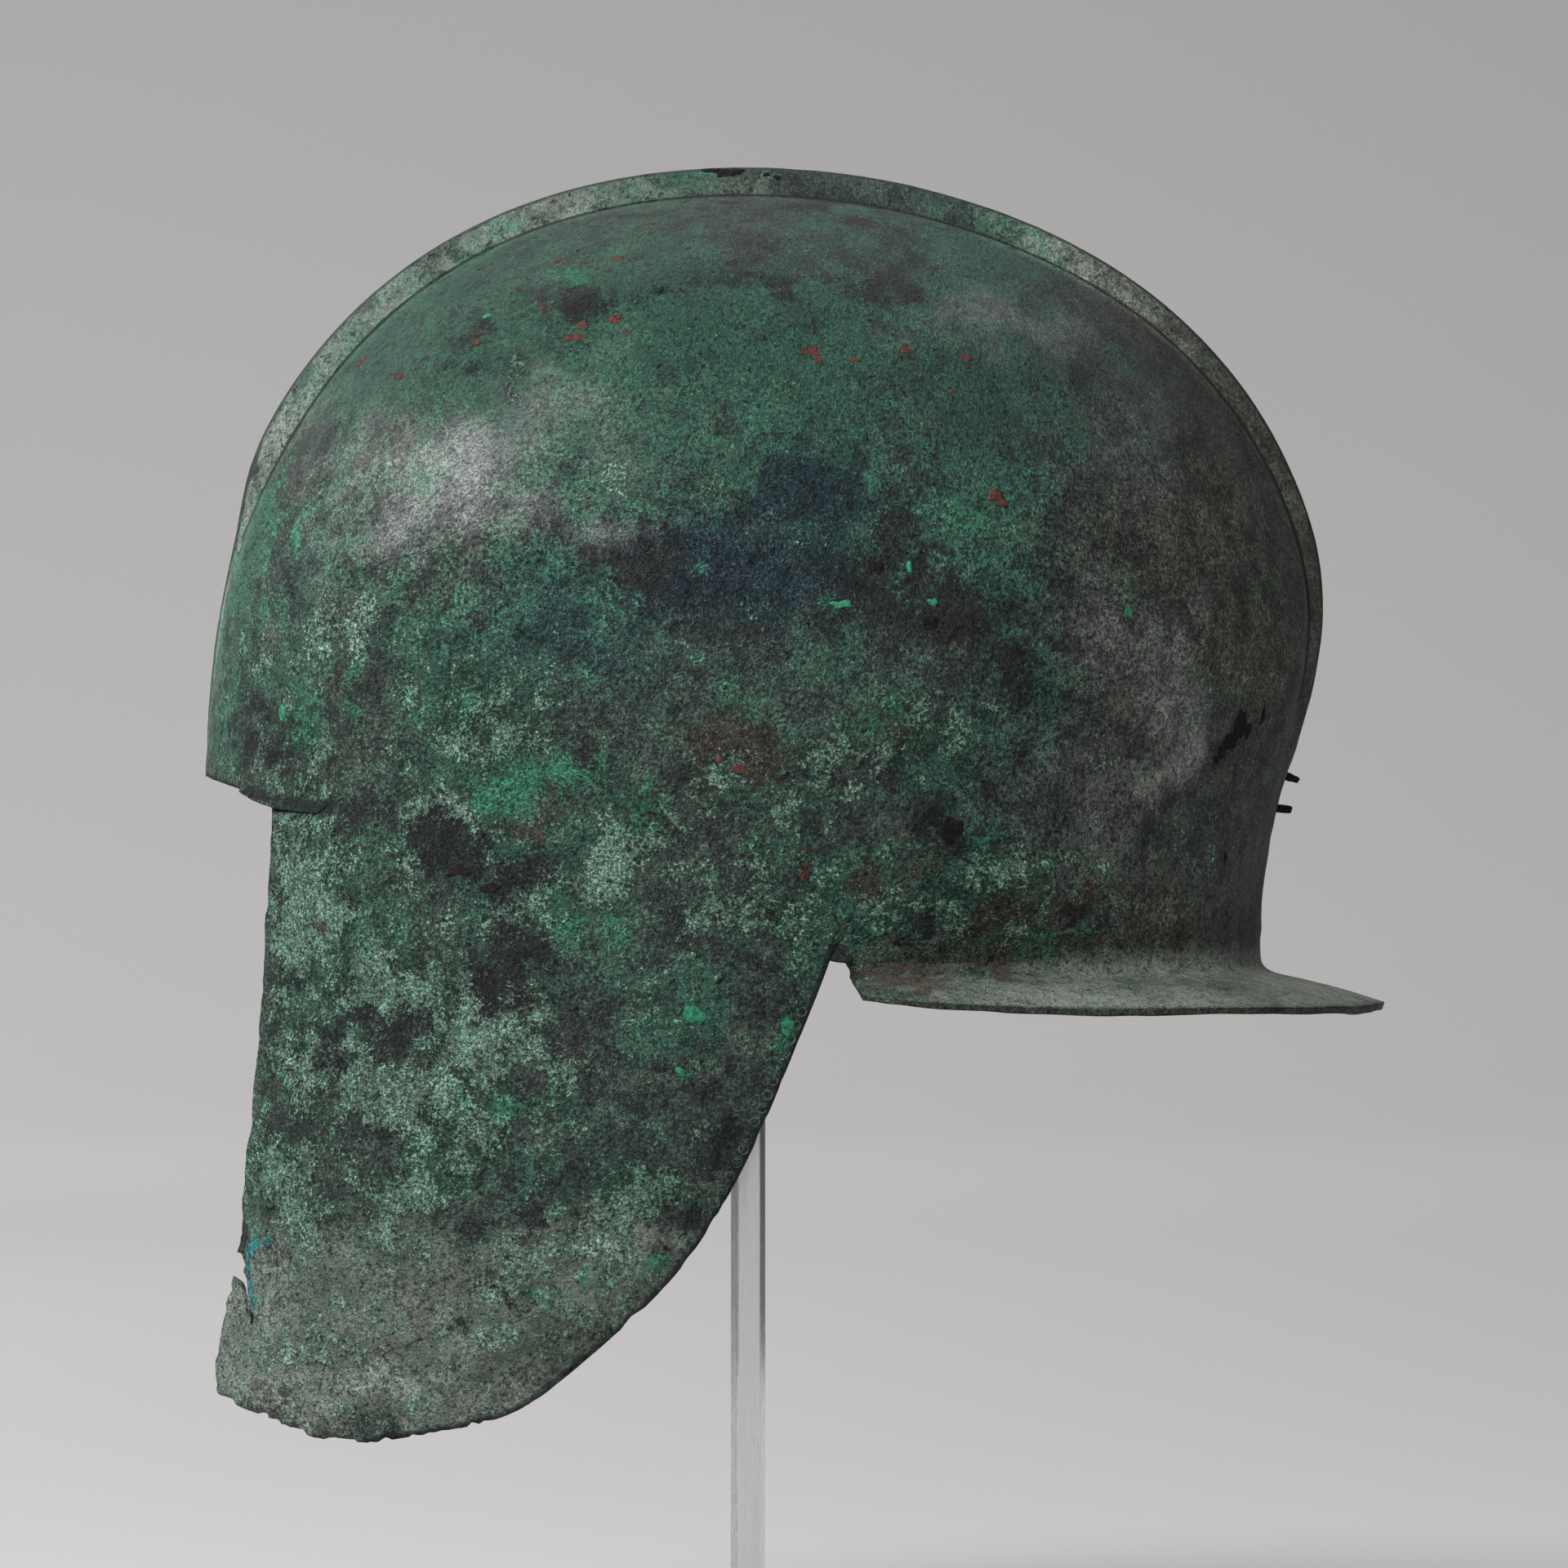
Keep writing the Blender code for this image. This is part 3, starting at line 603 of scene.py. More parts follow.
def stainMasks(points, outer):
    look = helmetLook["stainEdges"]
    size, octaves, width = look["warp"]
    warp = [fractalAt(points, size, octaves, seed) for seed in look["warpSeeds"]]
    warp = np.stack(warp, axis=1) * width
    left = points[:, 1] < 0
    masks = {}
    picker = random.Random(look["seed"])
    for kind, rows in stains.items():
        total = np.zeros(len(points))
        for x, y, across, down, strength in rows:
            start, way = seenPoint(x, y)
            place = start + way * (camera["distance"] - look["flank"])
            for here, unseen in ((left, False), (~left, True)):
                dx, dz, reach = 0, 0, 1.0
                if unseen:
                    dx, dz = (picker.uniform(-look["moved"], look["moved"]) for _ in range(2))
                    reach = picker.uniform(*look["resized"])
                waved = warp[here] * min(1.0, max(across, down) / look["fullWarp"])
                reach *= pixel * look["widened"]
                far = np.hypot(
                    (points[here, 0] - place.x - dx + waved[:, 0]) / (across * reach),
                    (points[here, 2] - place.z - dz + waved[:, 1]) / (down * reach),
                )
                spot = strength * np.exp(-look["falloff"] * far**2)
                total[here] = np.maximum(total[here], spot)
        masks[kind] = total * outer
    return masks


def patinaMasks(points, outer):
    look = helmetLook
    masks = stainMasks(points, outer)
    fields = {**masks, "outer": outer}
    for name, cloud in look["clouds"].items():
        stretch = look["streakStretch"] if name == "streaks" else (1, 1, 1)
        fields[name] = fractalAt(points * stretch, *cloud)
    x, y, z = points.T
    for kind, values in (("along", x), ("across", np.abs(y)), ("height", z)):
        for name, (start, full) in look["zones"][kind].items():
            fields[name] = smoothStep(start, full, values)
    for name, rows in look["blends"].items():
        products = (share * math.prod(fields[each] for each in names) for share, *names in rows)
        fields[name] = sum(products)
    for name in (*masks, "dull", "verdigris", "ridge", "crown"):
        masks[name] = fields[name]
    masks["crest"] = np.maximum(fields["crest"], fields["flange"])
    return masks, fields


def closeCrack(points):
    crack = helmetLook["crack"]
    x, y, z = points.T
    corner, level = crack["corner"]
    sag, turn = crack["arc"]
    along = np.clip((x - corner) / crack["length"], -0.6, 1)
    above = z - (level - sag * np.sin(np.clip(along, 0, 1) * turn))
    near = smoothStep(*crack["lip"], above) * (above > crack["under"])
    near *= smoothStep(*crack["end"], along) * (y < crack["leftOf"])
    near *= (x > corner - crack["before"]) & (x < corner + crack["length"])
    tip = smoothStep(*(corner + each for each in crack["tip"]), x)
    shift = np.full(points.shape, (crack["forward"], crack["proud"], crack["drop"]))
    shift[:, 0] *= tip
    return points - shift * near[:, None]


def makeHelmet():
    look = helmetLook["rimWearAndShade"]
    piece = copyNode("helmet_shell", "helmet_bronze")
    rim, grooves = edgeTrees(piece)
    creaseAndSmooth(piece, helmetLook)
    start = verticesOf(piece)
    outward = outwardAt(start)
    facing = (verticesOf(piece, "normal") * outward).sum(axis=1)
    outer = smoothStep(*helmetLook["outer"], facing)
    masks, fields = patinaMasks(start, outer)
    points, distance = wearEdges(closeCrack(start), rim)
    points = addRelief(points, outward, outer, masks)
    keepInside(piece, points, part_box("helmet_shell"))
    brow = fields["brow"]
    # dark along the sharp edges: partly wear, partly painted shade; the brow's wider band is
    # painted shade under its rim
    worn = smoothStep(*look["reach"], distance) * ~onFlange(start, "flangeEdge")
    worn *= 1 - look["lessOnCrest"] * (masks["crest"] > 0.5)
    worn *= 1 - look["lessInFront"] * fields["frontEdge"] * (1 - brow)
    masks["rimWearAndShade"] = np.maximum(worn, brow * smoothStep(*look["browReach"], distance))
    # the hollow foot of the ridges is darkened: painted shade in the crease
    hollow = np.array([grooves.find(p)[2] for p in start])
    masks["groove"] = smoothStep(*look["grooveReach"], hollow) * outer
    masks["hollow"] = 1 - outer
    for name, values in masks.items():
        putMask(piece, name, values)
    shadeSmooth(piece)
    print("helmet", len(piece.data.polygons), "faces")
    return piece


# Materials
def feedAll(tree, node, values):
    # an output is linked, a plain value is set, and a colour gets its fourth number
    for name, value in values.items():
        socket = node.inputs[name]
        if isinstance(value, bpy.types.NodeSocket):
            tree.links.new(value, socket)
        elif socket.type == "RGBA":
            socket.default_value = (*value, 1)
        else:
            socket.default_value = value
    return node


def newNode(tree, kind, values):
    return feedAll(tree, tree.nodes.new(kind), values)


def newMaterial(name):
    material = bpy.data.materials.new(name)
    material.use_nodes = True
    tree = material.node_tree
    place = tree.nodes.new("ShaderNodeTexCoord").outputs["Object"]
    return material, tree, tree.nodes["Principled BSDF"], place


def newGroup(name, inputs, outputs):
    group = bpy.data.node_groups.new(name, "ShaderNodeTree")
    for socketName, kind, value in inputs:
        socket = group.interface.new_socket(name=socketName, in_out="INPUT", socket_type=kind)
        if value is not None:
            socket.default_value = value
    for socketName in outputs:
        group.interface.new_socket(name=socketName, in_out="OUTPUT", socket_type="NodeSocketFloat")
    return group, group.nodes.new("NodeGroupInput"), group.nodes.new("NodeGroupOutput")


def groupNode(tree, group, values):
    node = tree.nodes.new("ShaderNodeGroup")
    node.node_tree = group
    return feedAll(tree, node, values)


def noiseNode(tree, vector, perMetre, detail, roughness, distortion=0.0):
    return newNode(tree, "ShaderNodeTexNoise", {
        "Vector": vector, "Scale": perMetre, "Detail": detail,
        "Roughness": roughness, "Distortion": distortion,
    }).outputs["Fac"]


def mathNode(tree, operation, *values, clamp=False):
    node = tree.nodes.new("ShaderNodeMath")
    node.operation = operation
    node.use_clamp = clamp
    return feedAll(tree, node, dict(enumerate(values))).outputs[0]


def times(tree, first, *others):
    for other in others:
        first = mathNode(tree, "MULTIPLY", first, other)
    return first


def weighted(tree, total, terms):
    # a start value, and every value times its share
    for value, share in terms:
        total = mathNode(tree, "MULTIPLY_ADD", value, share, total)
    return total


def stepNode(tree, value, low, high, outLow=0.0, outHigh=1.0):
    node = newNode(tree, "ShaderNodeMapRange", {
        "Value": value, "From Min": low, "From Max": high, "To Min": outLow, "To Max": outHigh,
    })
    node.interpolation_type = "SMOOTHSTEP"
    return node.outputs["Result"]


def mixColour(tree, mask, under, over):
    node = tree.nodes.new("ShaderNodeMix")
    node.data_type = "RGBA"
    return feedAll(tree, node, {0: mask, 6: under, 7: over}).outputs[2]


def attributeNode(tree, name):
    node = tree.nodes.new("ShaderNodeAttribute")
    node.attribute_name = name
    return node.outputs["Fac"]


grainLook = {
    "noises": {
        # per metre, detail, roughness, distortion
        "fine": (1900, 2, 0.75),
        "lumps": (980, 4, 0.72),
        "broad": (150, 5, 0.68, 0.4),
        "flaky": (230, 5, 0.62, 1.2),
        "deep": (430, 3, 0.6),
        "small": (800, 3, 0.7),
    },
    "steps": {
        # where it starts and is full, and what it goes from and to
        "specks": (0.55, 0.66),
        "deepPits": (0.335, 0.290),
        "smallPits": (0.45, 0.34),
        "lowLedge": (0.485, 0.515),
        "highLedge": (0.575, 0.600, 0, 0.8),
        "crack": (0.011, 0.003),
        "crackShare": (0.44, 0.56),
        # the next two follow the bump's fine and lumpy noise and are darker where the surface is
        # low: painted shade in the hollows and painted light on the rises, besides uneven tone
        "fineTone": (0.34, 0.66, 0.45, 1.60),
        "lumpTone": (0.34, 0.64, 0.46, 1.56),
        "mottle": (0.34, 0.64, 0.50, 1.42),
    },
    "ledgeFoot": 0.486,
    # shares of the fine, lumpy and broad noise, then of the deep pits
    "height": (0.65, 1.0, 0.9, -0.35),
    "breakUp": (1.0, 1.5, 2.3),
    "breakUpStart": -2.4,
}


def grainGroup():
    look = grainLook
    outputs = (
        "Lumps", "Fine", "Specks", "Pits", "Ledges", "Cracks", "Height", "Break up", "Shaded tone",
        "Mottle",
    )
    inputs = (("Vector", "NodeSocketVector", None),)
    group, start, end = newGroup("surface_grain", inputs, outputs)
    fine, lumps, broad, flaky, deep, small = (
        noiseNode(group, start.outputs["Vector"], *settings) for settings in look["noises"].values()
    )

    def step(name, value):
        return stepNode(group, value, *look["steps"][name])

    deepPits = step("deepPits", deep)
    foot = mathNode(group, "ABSOLUTE", mathNode(group, "SUBTRACT", flaky, look["ledgeFoot"]))
    noises = (fine, lumps, broad)
    feedAll(group, end, {
        "Fine": fine,
        "Lumps": lumps,
        "Specks": step("specks", fine),
        "Pits": mathNode(group, "MAXIMUM", step("smallPits", small), deepPits),
        "Ledges": mathNode(group, "ADD", step("lowLedge", flaky), step("highLedge", flaky)),
        "Cracks": times(group, step("crack", foot), step("crackShare", broad)),
        "Height": weighted(group, 0, zip((*noises, deepPits), look["height"])),
        "Break up": weighted(group, look["breakUpStart"], zip(noises, look["breakUp"])),
        # Shaded tone: painted shade in the grain's hollows and painted light on its rises, besides
        # uneven tone
        "Shaded tone": times(group, step("fineTone", fine), step("lumpTone", lumps)),
        "Mottle": step("mottle", broad),
    })
    return group


def raggedGroup():
    inputs = (("Amount", 0.5), ("Break up", 0.0), ("Strength", 1.0), ("Softness", 0.12))
    inputs = [(name, "NodeSocketFloat", value) for name, value in inputs]
    group, start, end = newGroup("ragged_edge", inputs, ("Mask",))
    given = start.outputs
    total = mathNode(group, "MULTIPLY_ADD", given["Break up"], given["Strength"], given["Amount"])
    low = mathNode(group, "SUBTRACT", 0.5, given["Softness"])
    high = mathNode(group, "ADD", 0.5, given["Softness"])
    feedAll(group, end, {"Mask": stepNode(group, total, low, high)})
    return group


patina = {
    "base": (0.056, 0.090, 0.071),
    "shade": (0.032, 0.042, 0.036),
    "green": (0.040, 0.134, 0.090),
    "crust": (0.098, 0.185, 0.138),
    "crustPale": (0.225, 0.315, 0.258),
    "ash": (0.245, 0.275, 0.242),
    "charcoal": (0.017, 0.018, 0.018),
    "azurite": (0.009, 0.023, 0.037),
    "turquoise": (0.030, 0.260, 0.270),
    "vivid": (0.026, 0.180, 0.105),
    "umber": (0.050, 0.030, 0.022),
    # lighter grey: partly patina, partly a painted highlight
    "sheen": (0.135, 0.138, 0.130),
    "dull": (0.066, 0.060, 0.051),
    "speck": (0.36, 0.49, 0.40),
    "pit": (0.008, 0.012, 0.010),
    # the dark of the edges: partly wear, partly painted shade
    "rim": (0.018, 0.022, 0.020),
    # painted shade in the ridges' hollow foot, also used for a dark line along the ridges
    "groove": (0.010, 0.018, 0.014),
    "inside": (0.060, 0.066, 0.050),
    # the second grain, which breaks up most layers, is the first one turned and moved
    "turn": (0.7, 0.4, 1.1),
    "move": (0.3, 0.1, 0.2),
    "layers": (
        # mask, colour, grain, how strongly it breaks the edge up, softness, share
        ("verdigris", "green", "first", 0.55, 0.30, 0.9),
        ("dull", "dull", "second", 0.5, 0.4, 0.75),
        ("ash", "ash", "second", 0.6, 0.40, 0.75),
        ("azurite", "azurite", "second", 0.6, 0.4, 0.9),
        # the grey of the glossy places, partly a painted highlight
        ("sheen", "sheen", "second", 0.35, 0.5, 0.75),
        ("crust", "crust", "first", 0.80, 0.15, 0.70),
        ("crust", "crustPale", "second", 0.9, 0.3, 0.16),
        ("vivid", "vivid", "first", 0.7, 0.18, 0.7),
        ("umber", "umber", "second", 0.7, 0.2, 0.75),
        ("turquoise", "turquoise", "second", 0.4, 0.2, 0.8),
        ("charcoal", "charcoal", "second", 0.75, 0.16, 0.92),
    ),
    "sums": {
        # a start value, and the share of each part
        "speckled": (0.07, {"crust": 0.30}),
        "uncharred": (1.0, {"charcoal": -0.644}),
        "unashen": (1.0, {"ashen": -0.6}),
        "cracked": (0.75, {"crest": -0.6}),
        "offCrest": (1.0, {"crest": -1.0}),
        # shaded: the crown's colour darkened as painted shade, and made lighter or darker by
        # painted light and shade
        "shaded": (1.0, {"crown": -0.26, "lighter": 1.0, "darker": -1.0}),
        "ridged": (0.0, {"ridge": 1.0, "second": 0.4}),
        "rough": (0.39, {"crust": 0.24, "lumps": 0.3, "sheen": -0.12}),
        "raised": (0.95, {"crust": 0.45, "crest": -0.60, "sheen": -0.35}),
        "flaky": (0.12, {"crust": 0.34, "ash": 0.16}),
    },
    "steps": {
        "cloud": (-0.30, 0.30),
        "rimWearAndShade": (0.45, 1.0, 0.0, 0.8),
        "groove": (0.45, 0.85, 0.0, 0.85),
        "ridge": (0.3, 0.8, 0.0, 0.8),
        "lumpGloss": (0.35, 0.62, 0.75, 1.1),
        "fineGloss": (0.34, 0.60, 0.35, 1.15),
    },
    "insideShare": 0.75,
    "pitShare": 0.8,
    # how much of the fine contrast is lost on the crest, on ash and on the crown
    "calmCrest": 0.45,
    "calmAsh": 0.18,
    "calmCrown": 0.50,
    "coat": 0.40,
    "crustHeight": 0.12,
    "bumpDepth": 0.00160,
}


def bronzeMaterial(grain, ragged):
    look = patina
    material, tree, shader, place = newMaterial("patinated_bronze")
    turned = newNode(tree, "ShaderNodeMapping", {
        "Vector": place, "Rotation": look["turn"], "Location": look["move"],
    }).outputs["Vector"]
    grained, second = (groupNode(tree, grain, {"Vector": v}).outputs for v in (place, turned))
    names = (
        "ash", "sheen", "hollow", "crest", "crown", "lighter", "darker", "rimWearAndShade", "groove",
        "ridge",
    )
    parts = {name: attributeNode(tree, name) for name in names}
    parts.update(lumps=grained["Lumps"], first=grained["Break up"], second=second["Break up"])
    parts["ashen"] = mathNode(tree, "MULTIPLY", parts["ash"], 1.0, clamp=True)

    def sumOf(name):
        start, shares = look["sums"][name]
        return weighted(tree, start, [(parts[part], share) for part, share in shares.items()])

    def step(name, value):
        return stepNode(tree, value, *look["steps"][name])

    colour = mixColour(tree, step("cloud", parts["second"]), look["shade"], look["base"])
    for mask, tint, grainName, strength, softness, share in look["layers"]:
        worn = groupNode(tree, ragged, {
            "Amount": attributeNode(tree, mask), "Break up": parts[grainName],
            "Strength": strength, "Softness": softness,
        }).outputs["Mask"]
        if tint == "crustPale":
            worn = times(tree, worn, parts["crust"])
        if tint in ("crust", "charcoal"):
            parts[tint] = worn
        colour = mixColour(tree, times(tree, worn, share), colour, look[tint])
    speckled = times(tree, grained["Specks"], *map(sumOf, ("speckled", "uncharred", "unashen")))
    for share, tint in (
        (times(tree, parts["hollow"], look["insideShare"]), "inside"),
        (speckled, "speck"),
        (times(tree, grained["Pits"], look["pitShare"]), "pit"),
        (times(tree, grained["Cracks"], sumOf("cracked")), "pit"),
    ):
        colour = mixColour(tree, share, colour, look[tint])

    # the grain's hollows are darkened and its rises lightened as painted shade and light, with less
    # of it on the crest, the ash and the crown
    calm = times(tree, parts["crest"], look["calmCrest"])
    for part, share in (("ashen", look["calmAsh"]), ("crown", look["calmCrown"])):
        calm = mathNode(tree, "MAXIMUM", calm, times(tree, parts[part], share))
    shadedTone = times(tree, grained["Shaded tone"], grained["Mottle"])
    shadedTone = weighted(tree, calm, [(shadedTone, mathNode(tree, "SUBTRACT", 1.0, calm))])
    # the colour scaled by the shaded tone and the shaded sum: painted shade and painted light
    toned = tree.nodes.new("ShaderNodeVectorMath")
    toned.operation = "SCALE"
    feedAll(tree, toned, {0: colour, "Scale": times(tree, shadedTone, sumOf("shaded"))})
    # the edges darkened: partly wear, partly painted shade
    rim = step("rimWearAndShade", parts["rimWearAndShade"])
    colour = mixColour(tree, rim, toned.outputs[0], look["rim"])
    # painted shade in the hollow foot of the ridges, and a dark line along the ridges, in one dark
    # colour
    groove, ridge = step("groove", parts["groove"]), step("ridge", sumOf("ridged"))
    colour = mixColour(tree, mathNode(tree, "MAXIMUM", groove, ridge), colour, look["groove"])

    gloss = times(tree, parts["sheen"], step("lumpGloss", grained["Lumps"]))
    gloss = times(tree, gloss, step("fineGloss", grained["Fine"]), look["coat"])
    height = weighted(tree, 0, [
        (grained["Height"], sumOf("raised")),
        (grained["Ledges"], times(tree, sumOf("flaky"), sumOf("offCrest"))),
        (parts["crust"], look["crustHeight"]),
    ])
    feedAll(tree, shader, {
        "Base Color": colour,
        "Roughness": sumOf("rough"),
        "IOR": 1.5,
        "Specular IOR Level": 0.2,
        "Coat Weight": gloss,
        "Coat Roughness": 0.40,
        "Coat IOR": 1.6,
        "Normal": bumpNode(tree, height, look["bumpDepth"]),
    })
    return material


def bumpNode(tree, height, depth):
    bump = newNode(tree, "ShaderNodeBump", {"Height": height, "Strength": 1.0, "Distance": depth})
    return bump.outputs["Normal"]


acrylic = {
    "streaks": (900, 900, 9),
    "noise": (1.0, 4, 0.6),
    "tintStep": (0.35, 0.65),
    "tints": ((0.93, 0.95, 0.95), (1.0, 1.0, 1.0)),
    "roughness": (0.3, 0.7, 0.10, 0.34),
    "clear": 0.90,
    "frosted": 0.60,
}


def acrylicMaterial(kind):
    look = acrylic
    material, tree, shader, place = newMaterial(kind + "_acrylic")
    drawn = newNode(tree, "ShaderNodeMapping", {"Vector": place, "Scale": look["streaks"]})
    streak = noiseNode(tree, drawn.outputs["Vector"], *look["noise"])
    feedAll(tree, shader, {
        "Base Color": mixColour(tree, stepNode(tree, streak, *look["tintStep"]), *look["tints"]),
        "Roughness": stepNode(tree, streak, *look["roughness"]),
        "IOR": 1.49,
        "Transmission Weight": look[kind],
    })
    return material


def setMaterial(obj, material):
    if obj.data.materials:
        for index in range(len(obj.data.materials)):
            obj.data.materials[index] = material
    else:
        obj.data.materials.append(material)


# Plain crusts
crusts = {
    # dark colour, light colour, roughness, depth of the bump
    "ring_crust": ((0.034, 0.050, 0.040), (0.120, 0.165, 0.132), 0.7, 0.0004),
    # also the two lines of painted shadow along the notch's lips
    "seam_crust_and_lip_shadows": ((0.016, 0.020, 0.018), (0.050, 0.062, 0.054), 0.7, 0.0003),
    "cuprite_spots": ((0.040, 0.020, 0.016), (0.135, 0.048, 0.036), 0.7, 0.0006),
    "malachite_spots": ((0.020, 0.110, 0.060), (0.050, 0.300, 0.180), 0.6, 0.0006),
    "dark_scabs": ((0.004, 0.0035, 0.0035), (0.017, 0.012, 0.011), 0.6, 0.0008),
    "turquoise_spots": ((0.012, 0.070, 0.068), (0.050, 0.290, 0.280), 0.6, 0.0008),
    "dark_pin": ((0.012, 0.014, 0.013), (0.045, 0.060, 0.050), 0.55, 0.0008),
    # where the grain turns one into the other, on all of them
    "colourStep": (0.35, 0.65),
    "roughnessStep": (0.3, 0.7),
    "rougher": 0.2,
    "specular": 0.15,
}


def crustMaterial(name, grain):
    dark, light, roughness, depth = crusts[name]
    material, tree, shader, place = newMaterial(name)
    grained = groupNode(tree, grain, {"Vector": place}).outputs
    lumpy = stepNode(tree, grained["Lumps"], *crusts["colourStep"])
    rough = (*crusts["roughnessStep"], roughness, roughness + crusts["rougher"])
    feedAll(tree, shader, {
        "Base Color": mixColour(tree, lumpy, dark, light),
        "Roughness": stepNode(tree, grained["Fine"], *rough),
        "Specular IOR Level": crusts["specular"],
        "Normal": bumpNode(tree, grained["Height"], depth),
    })
    return material


# Punched rings along the edges: one small ring, copied and joined
rings = {
    "rear": {"across": 0.0019, "pitch": 0.0030, "inset": 0.0016, "from": 0.1580, "to": 0.1050},
    "front": {"across": 0.0014, "pitch": 0.0023, "inset": 0.0012, "from": 0.1925, "to": 0.1060},
    "brow": {"across": 0.0014, "pitch": 0.0026, "inset": 0.0015, "to": 0.0400},
    # beside the notch, where the sheet turns: photo places on the left side
    "placed": (
        (1013, 1133), (1003, 1150), (1001, 1166), (994, 1183),
        (1032, 1124), (1038, 1137), (1045, 1115), (1061, 1165), (1061, 1181), (1066, 1197),
    ),
    # x inside the cheekpiece, and beyond its rear and front edge
    "within": -0.05,
    "beyond": {"rear": 0.0125, "front": -0.135},
    "browHeight": (0.220, 0.180),  # on the sheet, and below it
    "edgeStep": 0.0002,
    # rays from outside: how far out they start, and how far they reach
    "sideRay": (0.3, 0.28),
    "frontRay": (0.3, 0.22),
    "cheekSide": 0.02,  # nearer to the middle there is no cheekpiece
    "thick": 0.00021,
    "sunk": 0.00005,
    "wornAway": 0.10,
    "oval": (0.92, 1.05),
    "flat": (0.6, 1.0),
    "seed": 31,
}


def surfaceTree(piece):
    corners = [v.co for v in piece.data.vertices]
    return BVHTree.FromPolygons(corners, [list(p.vertices) for p in piece.data.polygons])


def rayHit(tree, start, way, *reach):
    place, normal, _, _ = tree.ray_cast(Vector(start), Vector(way), *reach)
    return (place, normal) if place else None


def sideHit(tree, x, z, side):
    start, reach = rings["sideRay"]
    return rayHit(tree, (x, side * start, z), (0, -side, 0), reach)


def frontHit(tree, y, z):
    start, reach = rings["frontRay"]
    return rayHit(tree, (-start, y, z), (1, 0, 0), reach)


def photoHit(tree, x, y, side=-1):
    # the place in the photo, or its mirror image on the right side
    start, way = seenPoint(x, y)
    mirror = Vector((1, -side, 1))
    return rayHit(tree, start * mirror, way * mirror)


def edgeBetween(hits, inside, outside):
    # where the plate ends, going from inside to outside
    for _ in range(24):
        middle = (inside + outside) / 2
        if hits(middle):
            inside = middle
        else:
            outside = middle
    return inside


def walkEdge(tree, name, side):
    look = rings[name]
    inside, outside = rings["within"], rings["beyond"][name]
    count = int((look["from"] - look["to"]) / rings["edgeStep"])
    line = []
    for i in range(count + 1):
        z = look["from"] + (look["to"] - look["from"]) * i / count
        x = edgeBetween(lambda x: sideHit(tree, x, z, side), inside, outside)
        line.append(Vector((x, z)))
    found, gone = [], 0.0
    for before, after in zip(line, line[1:]):
        step = after - before
        gone += step.length
        if gone < look["pitch"]:
            continue
        gone = 0.0
        across = Vector((step.y, -step.x)).normalized()
        if (across.x > 0) != (inside > after.x):
            across.negate()
        hit = sideHit(tree, *(after + across * look["inset"]), side)
        if hit and abs(hit[0].y) > rings["cheekSide"]:
            found.append((*hit, look["across"]))
    return found


def browPlaces(tree):
    look = rings["brow"]
    found = []
    steps = int(2 * look["to"] / look["pitch"])
    for i in range(steps + 1):
        y = -look["to"] + 2 * look["to"] * i / steps
        edge = edgeBetween(lambda z: frontHit(tree, y, z), *rings["browHeight"])
        hit = frontHit(tree, y, edge + look["inset"])
        if hit:
            found.append((*hit, look["across"]))
    return found


def takePatina(piece, helmet, crustier):
    # every point takes the masks of the sheet that it lies on
    near = treeOfPoints([vertex.co for vertex in helmet.data.vertices])
    index = [near.find(vertex.co)[1] for vertex in piece.data.vertices]
    values = np.zeros(len(helmet.data.vertices))
    for attribute in list(helmet.data.attributes):
        if attribute.data_type == "FLOAT" and attribute.domain == "POINT":
            attribute.data.foreach_get("value", values)
            more = crustier if attribute.name == "crust" else 0
            putMask(piece, attribute.name, values[index] + more)


def makeRings(helmet):
    look = rings
    tree = surfaceTree(helmet)
    across = look["rear"]["across"]
    found = []
    for side in (-1, 1):
        found += walkEdge(tree, "rear", side) + walkEdge(tree, "front", side)
        found += [(*photoHit(tree, x, y, side), across) for x, y in look["placed"]]
    found += browPlaces(tree)
    picker = random.Random(look["seed"])
    bpy.ops.mesh.primitive_torus_add(
        major_segments=12, minor_segments=4, major_radius=0.5, minor_radius=look["thick"] / across
    )
    first = bpy.context.object
    pieces = []
    for place, normal, across in found:
        if picker.random() < look["wornAway"]:
            continue
        ring = first.copy()
        ring.data = first.data.copy()
        bpy.context.scene.collection.objects.link(ring)
        turn = normal.to_track_quat("Z", "Y").to_matrix().to_4x4()
        down, up = (across * picker.uniform(*look[name]) for name in ("oval", "flat"))
        spin = Matrix.Rotation(picker.uniform(0, 3), 4, "Z")
        sunk = Matrix.Translation(place - normal * look["sunk"])
        ring.matrix_world = sunk @ turn @ spin @ Matrix.Diagonal((across, down, up, 1))
        pieces.append(ring)
    bpy.data.objects.remove(first)
    joined = joinAs("punched_rings", pieces)
    bpy.ops.object.transform_apply(location=True, rotation=True, scale=True)
    shadeSmooth(joined)
    keepInside(joined, verticesOf(joined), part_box("helmet_shell"))
    print("rings", len(pieces))
    return joined


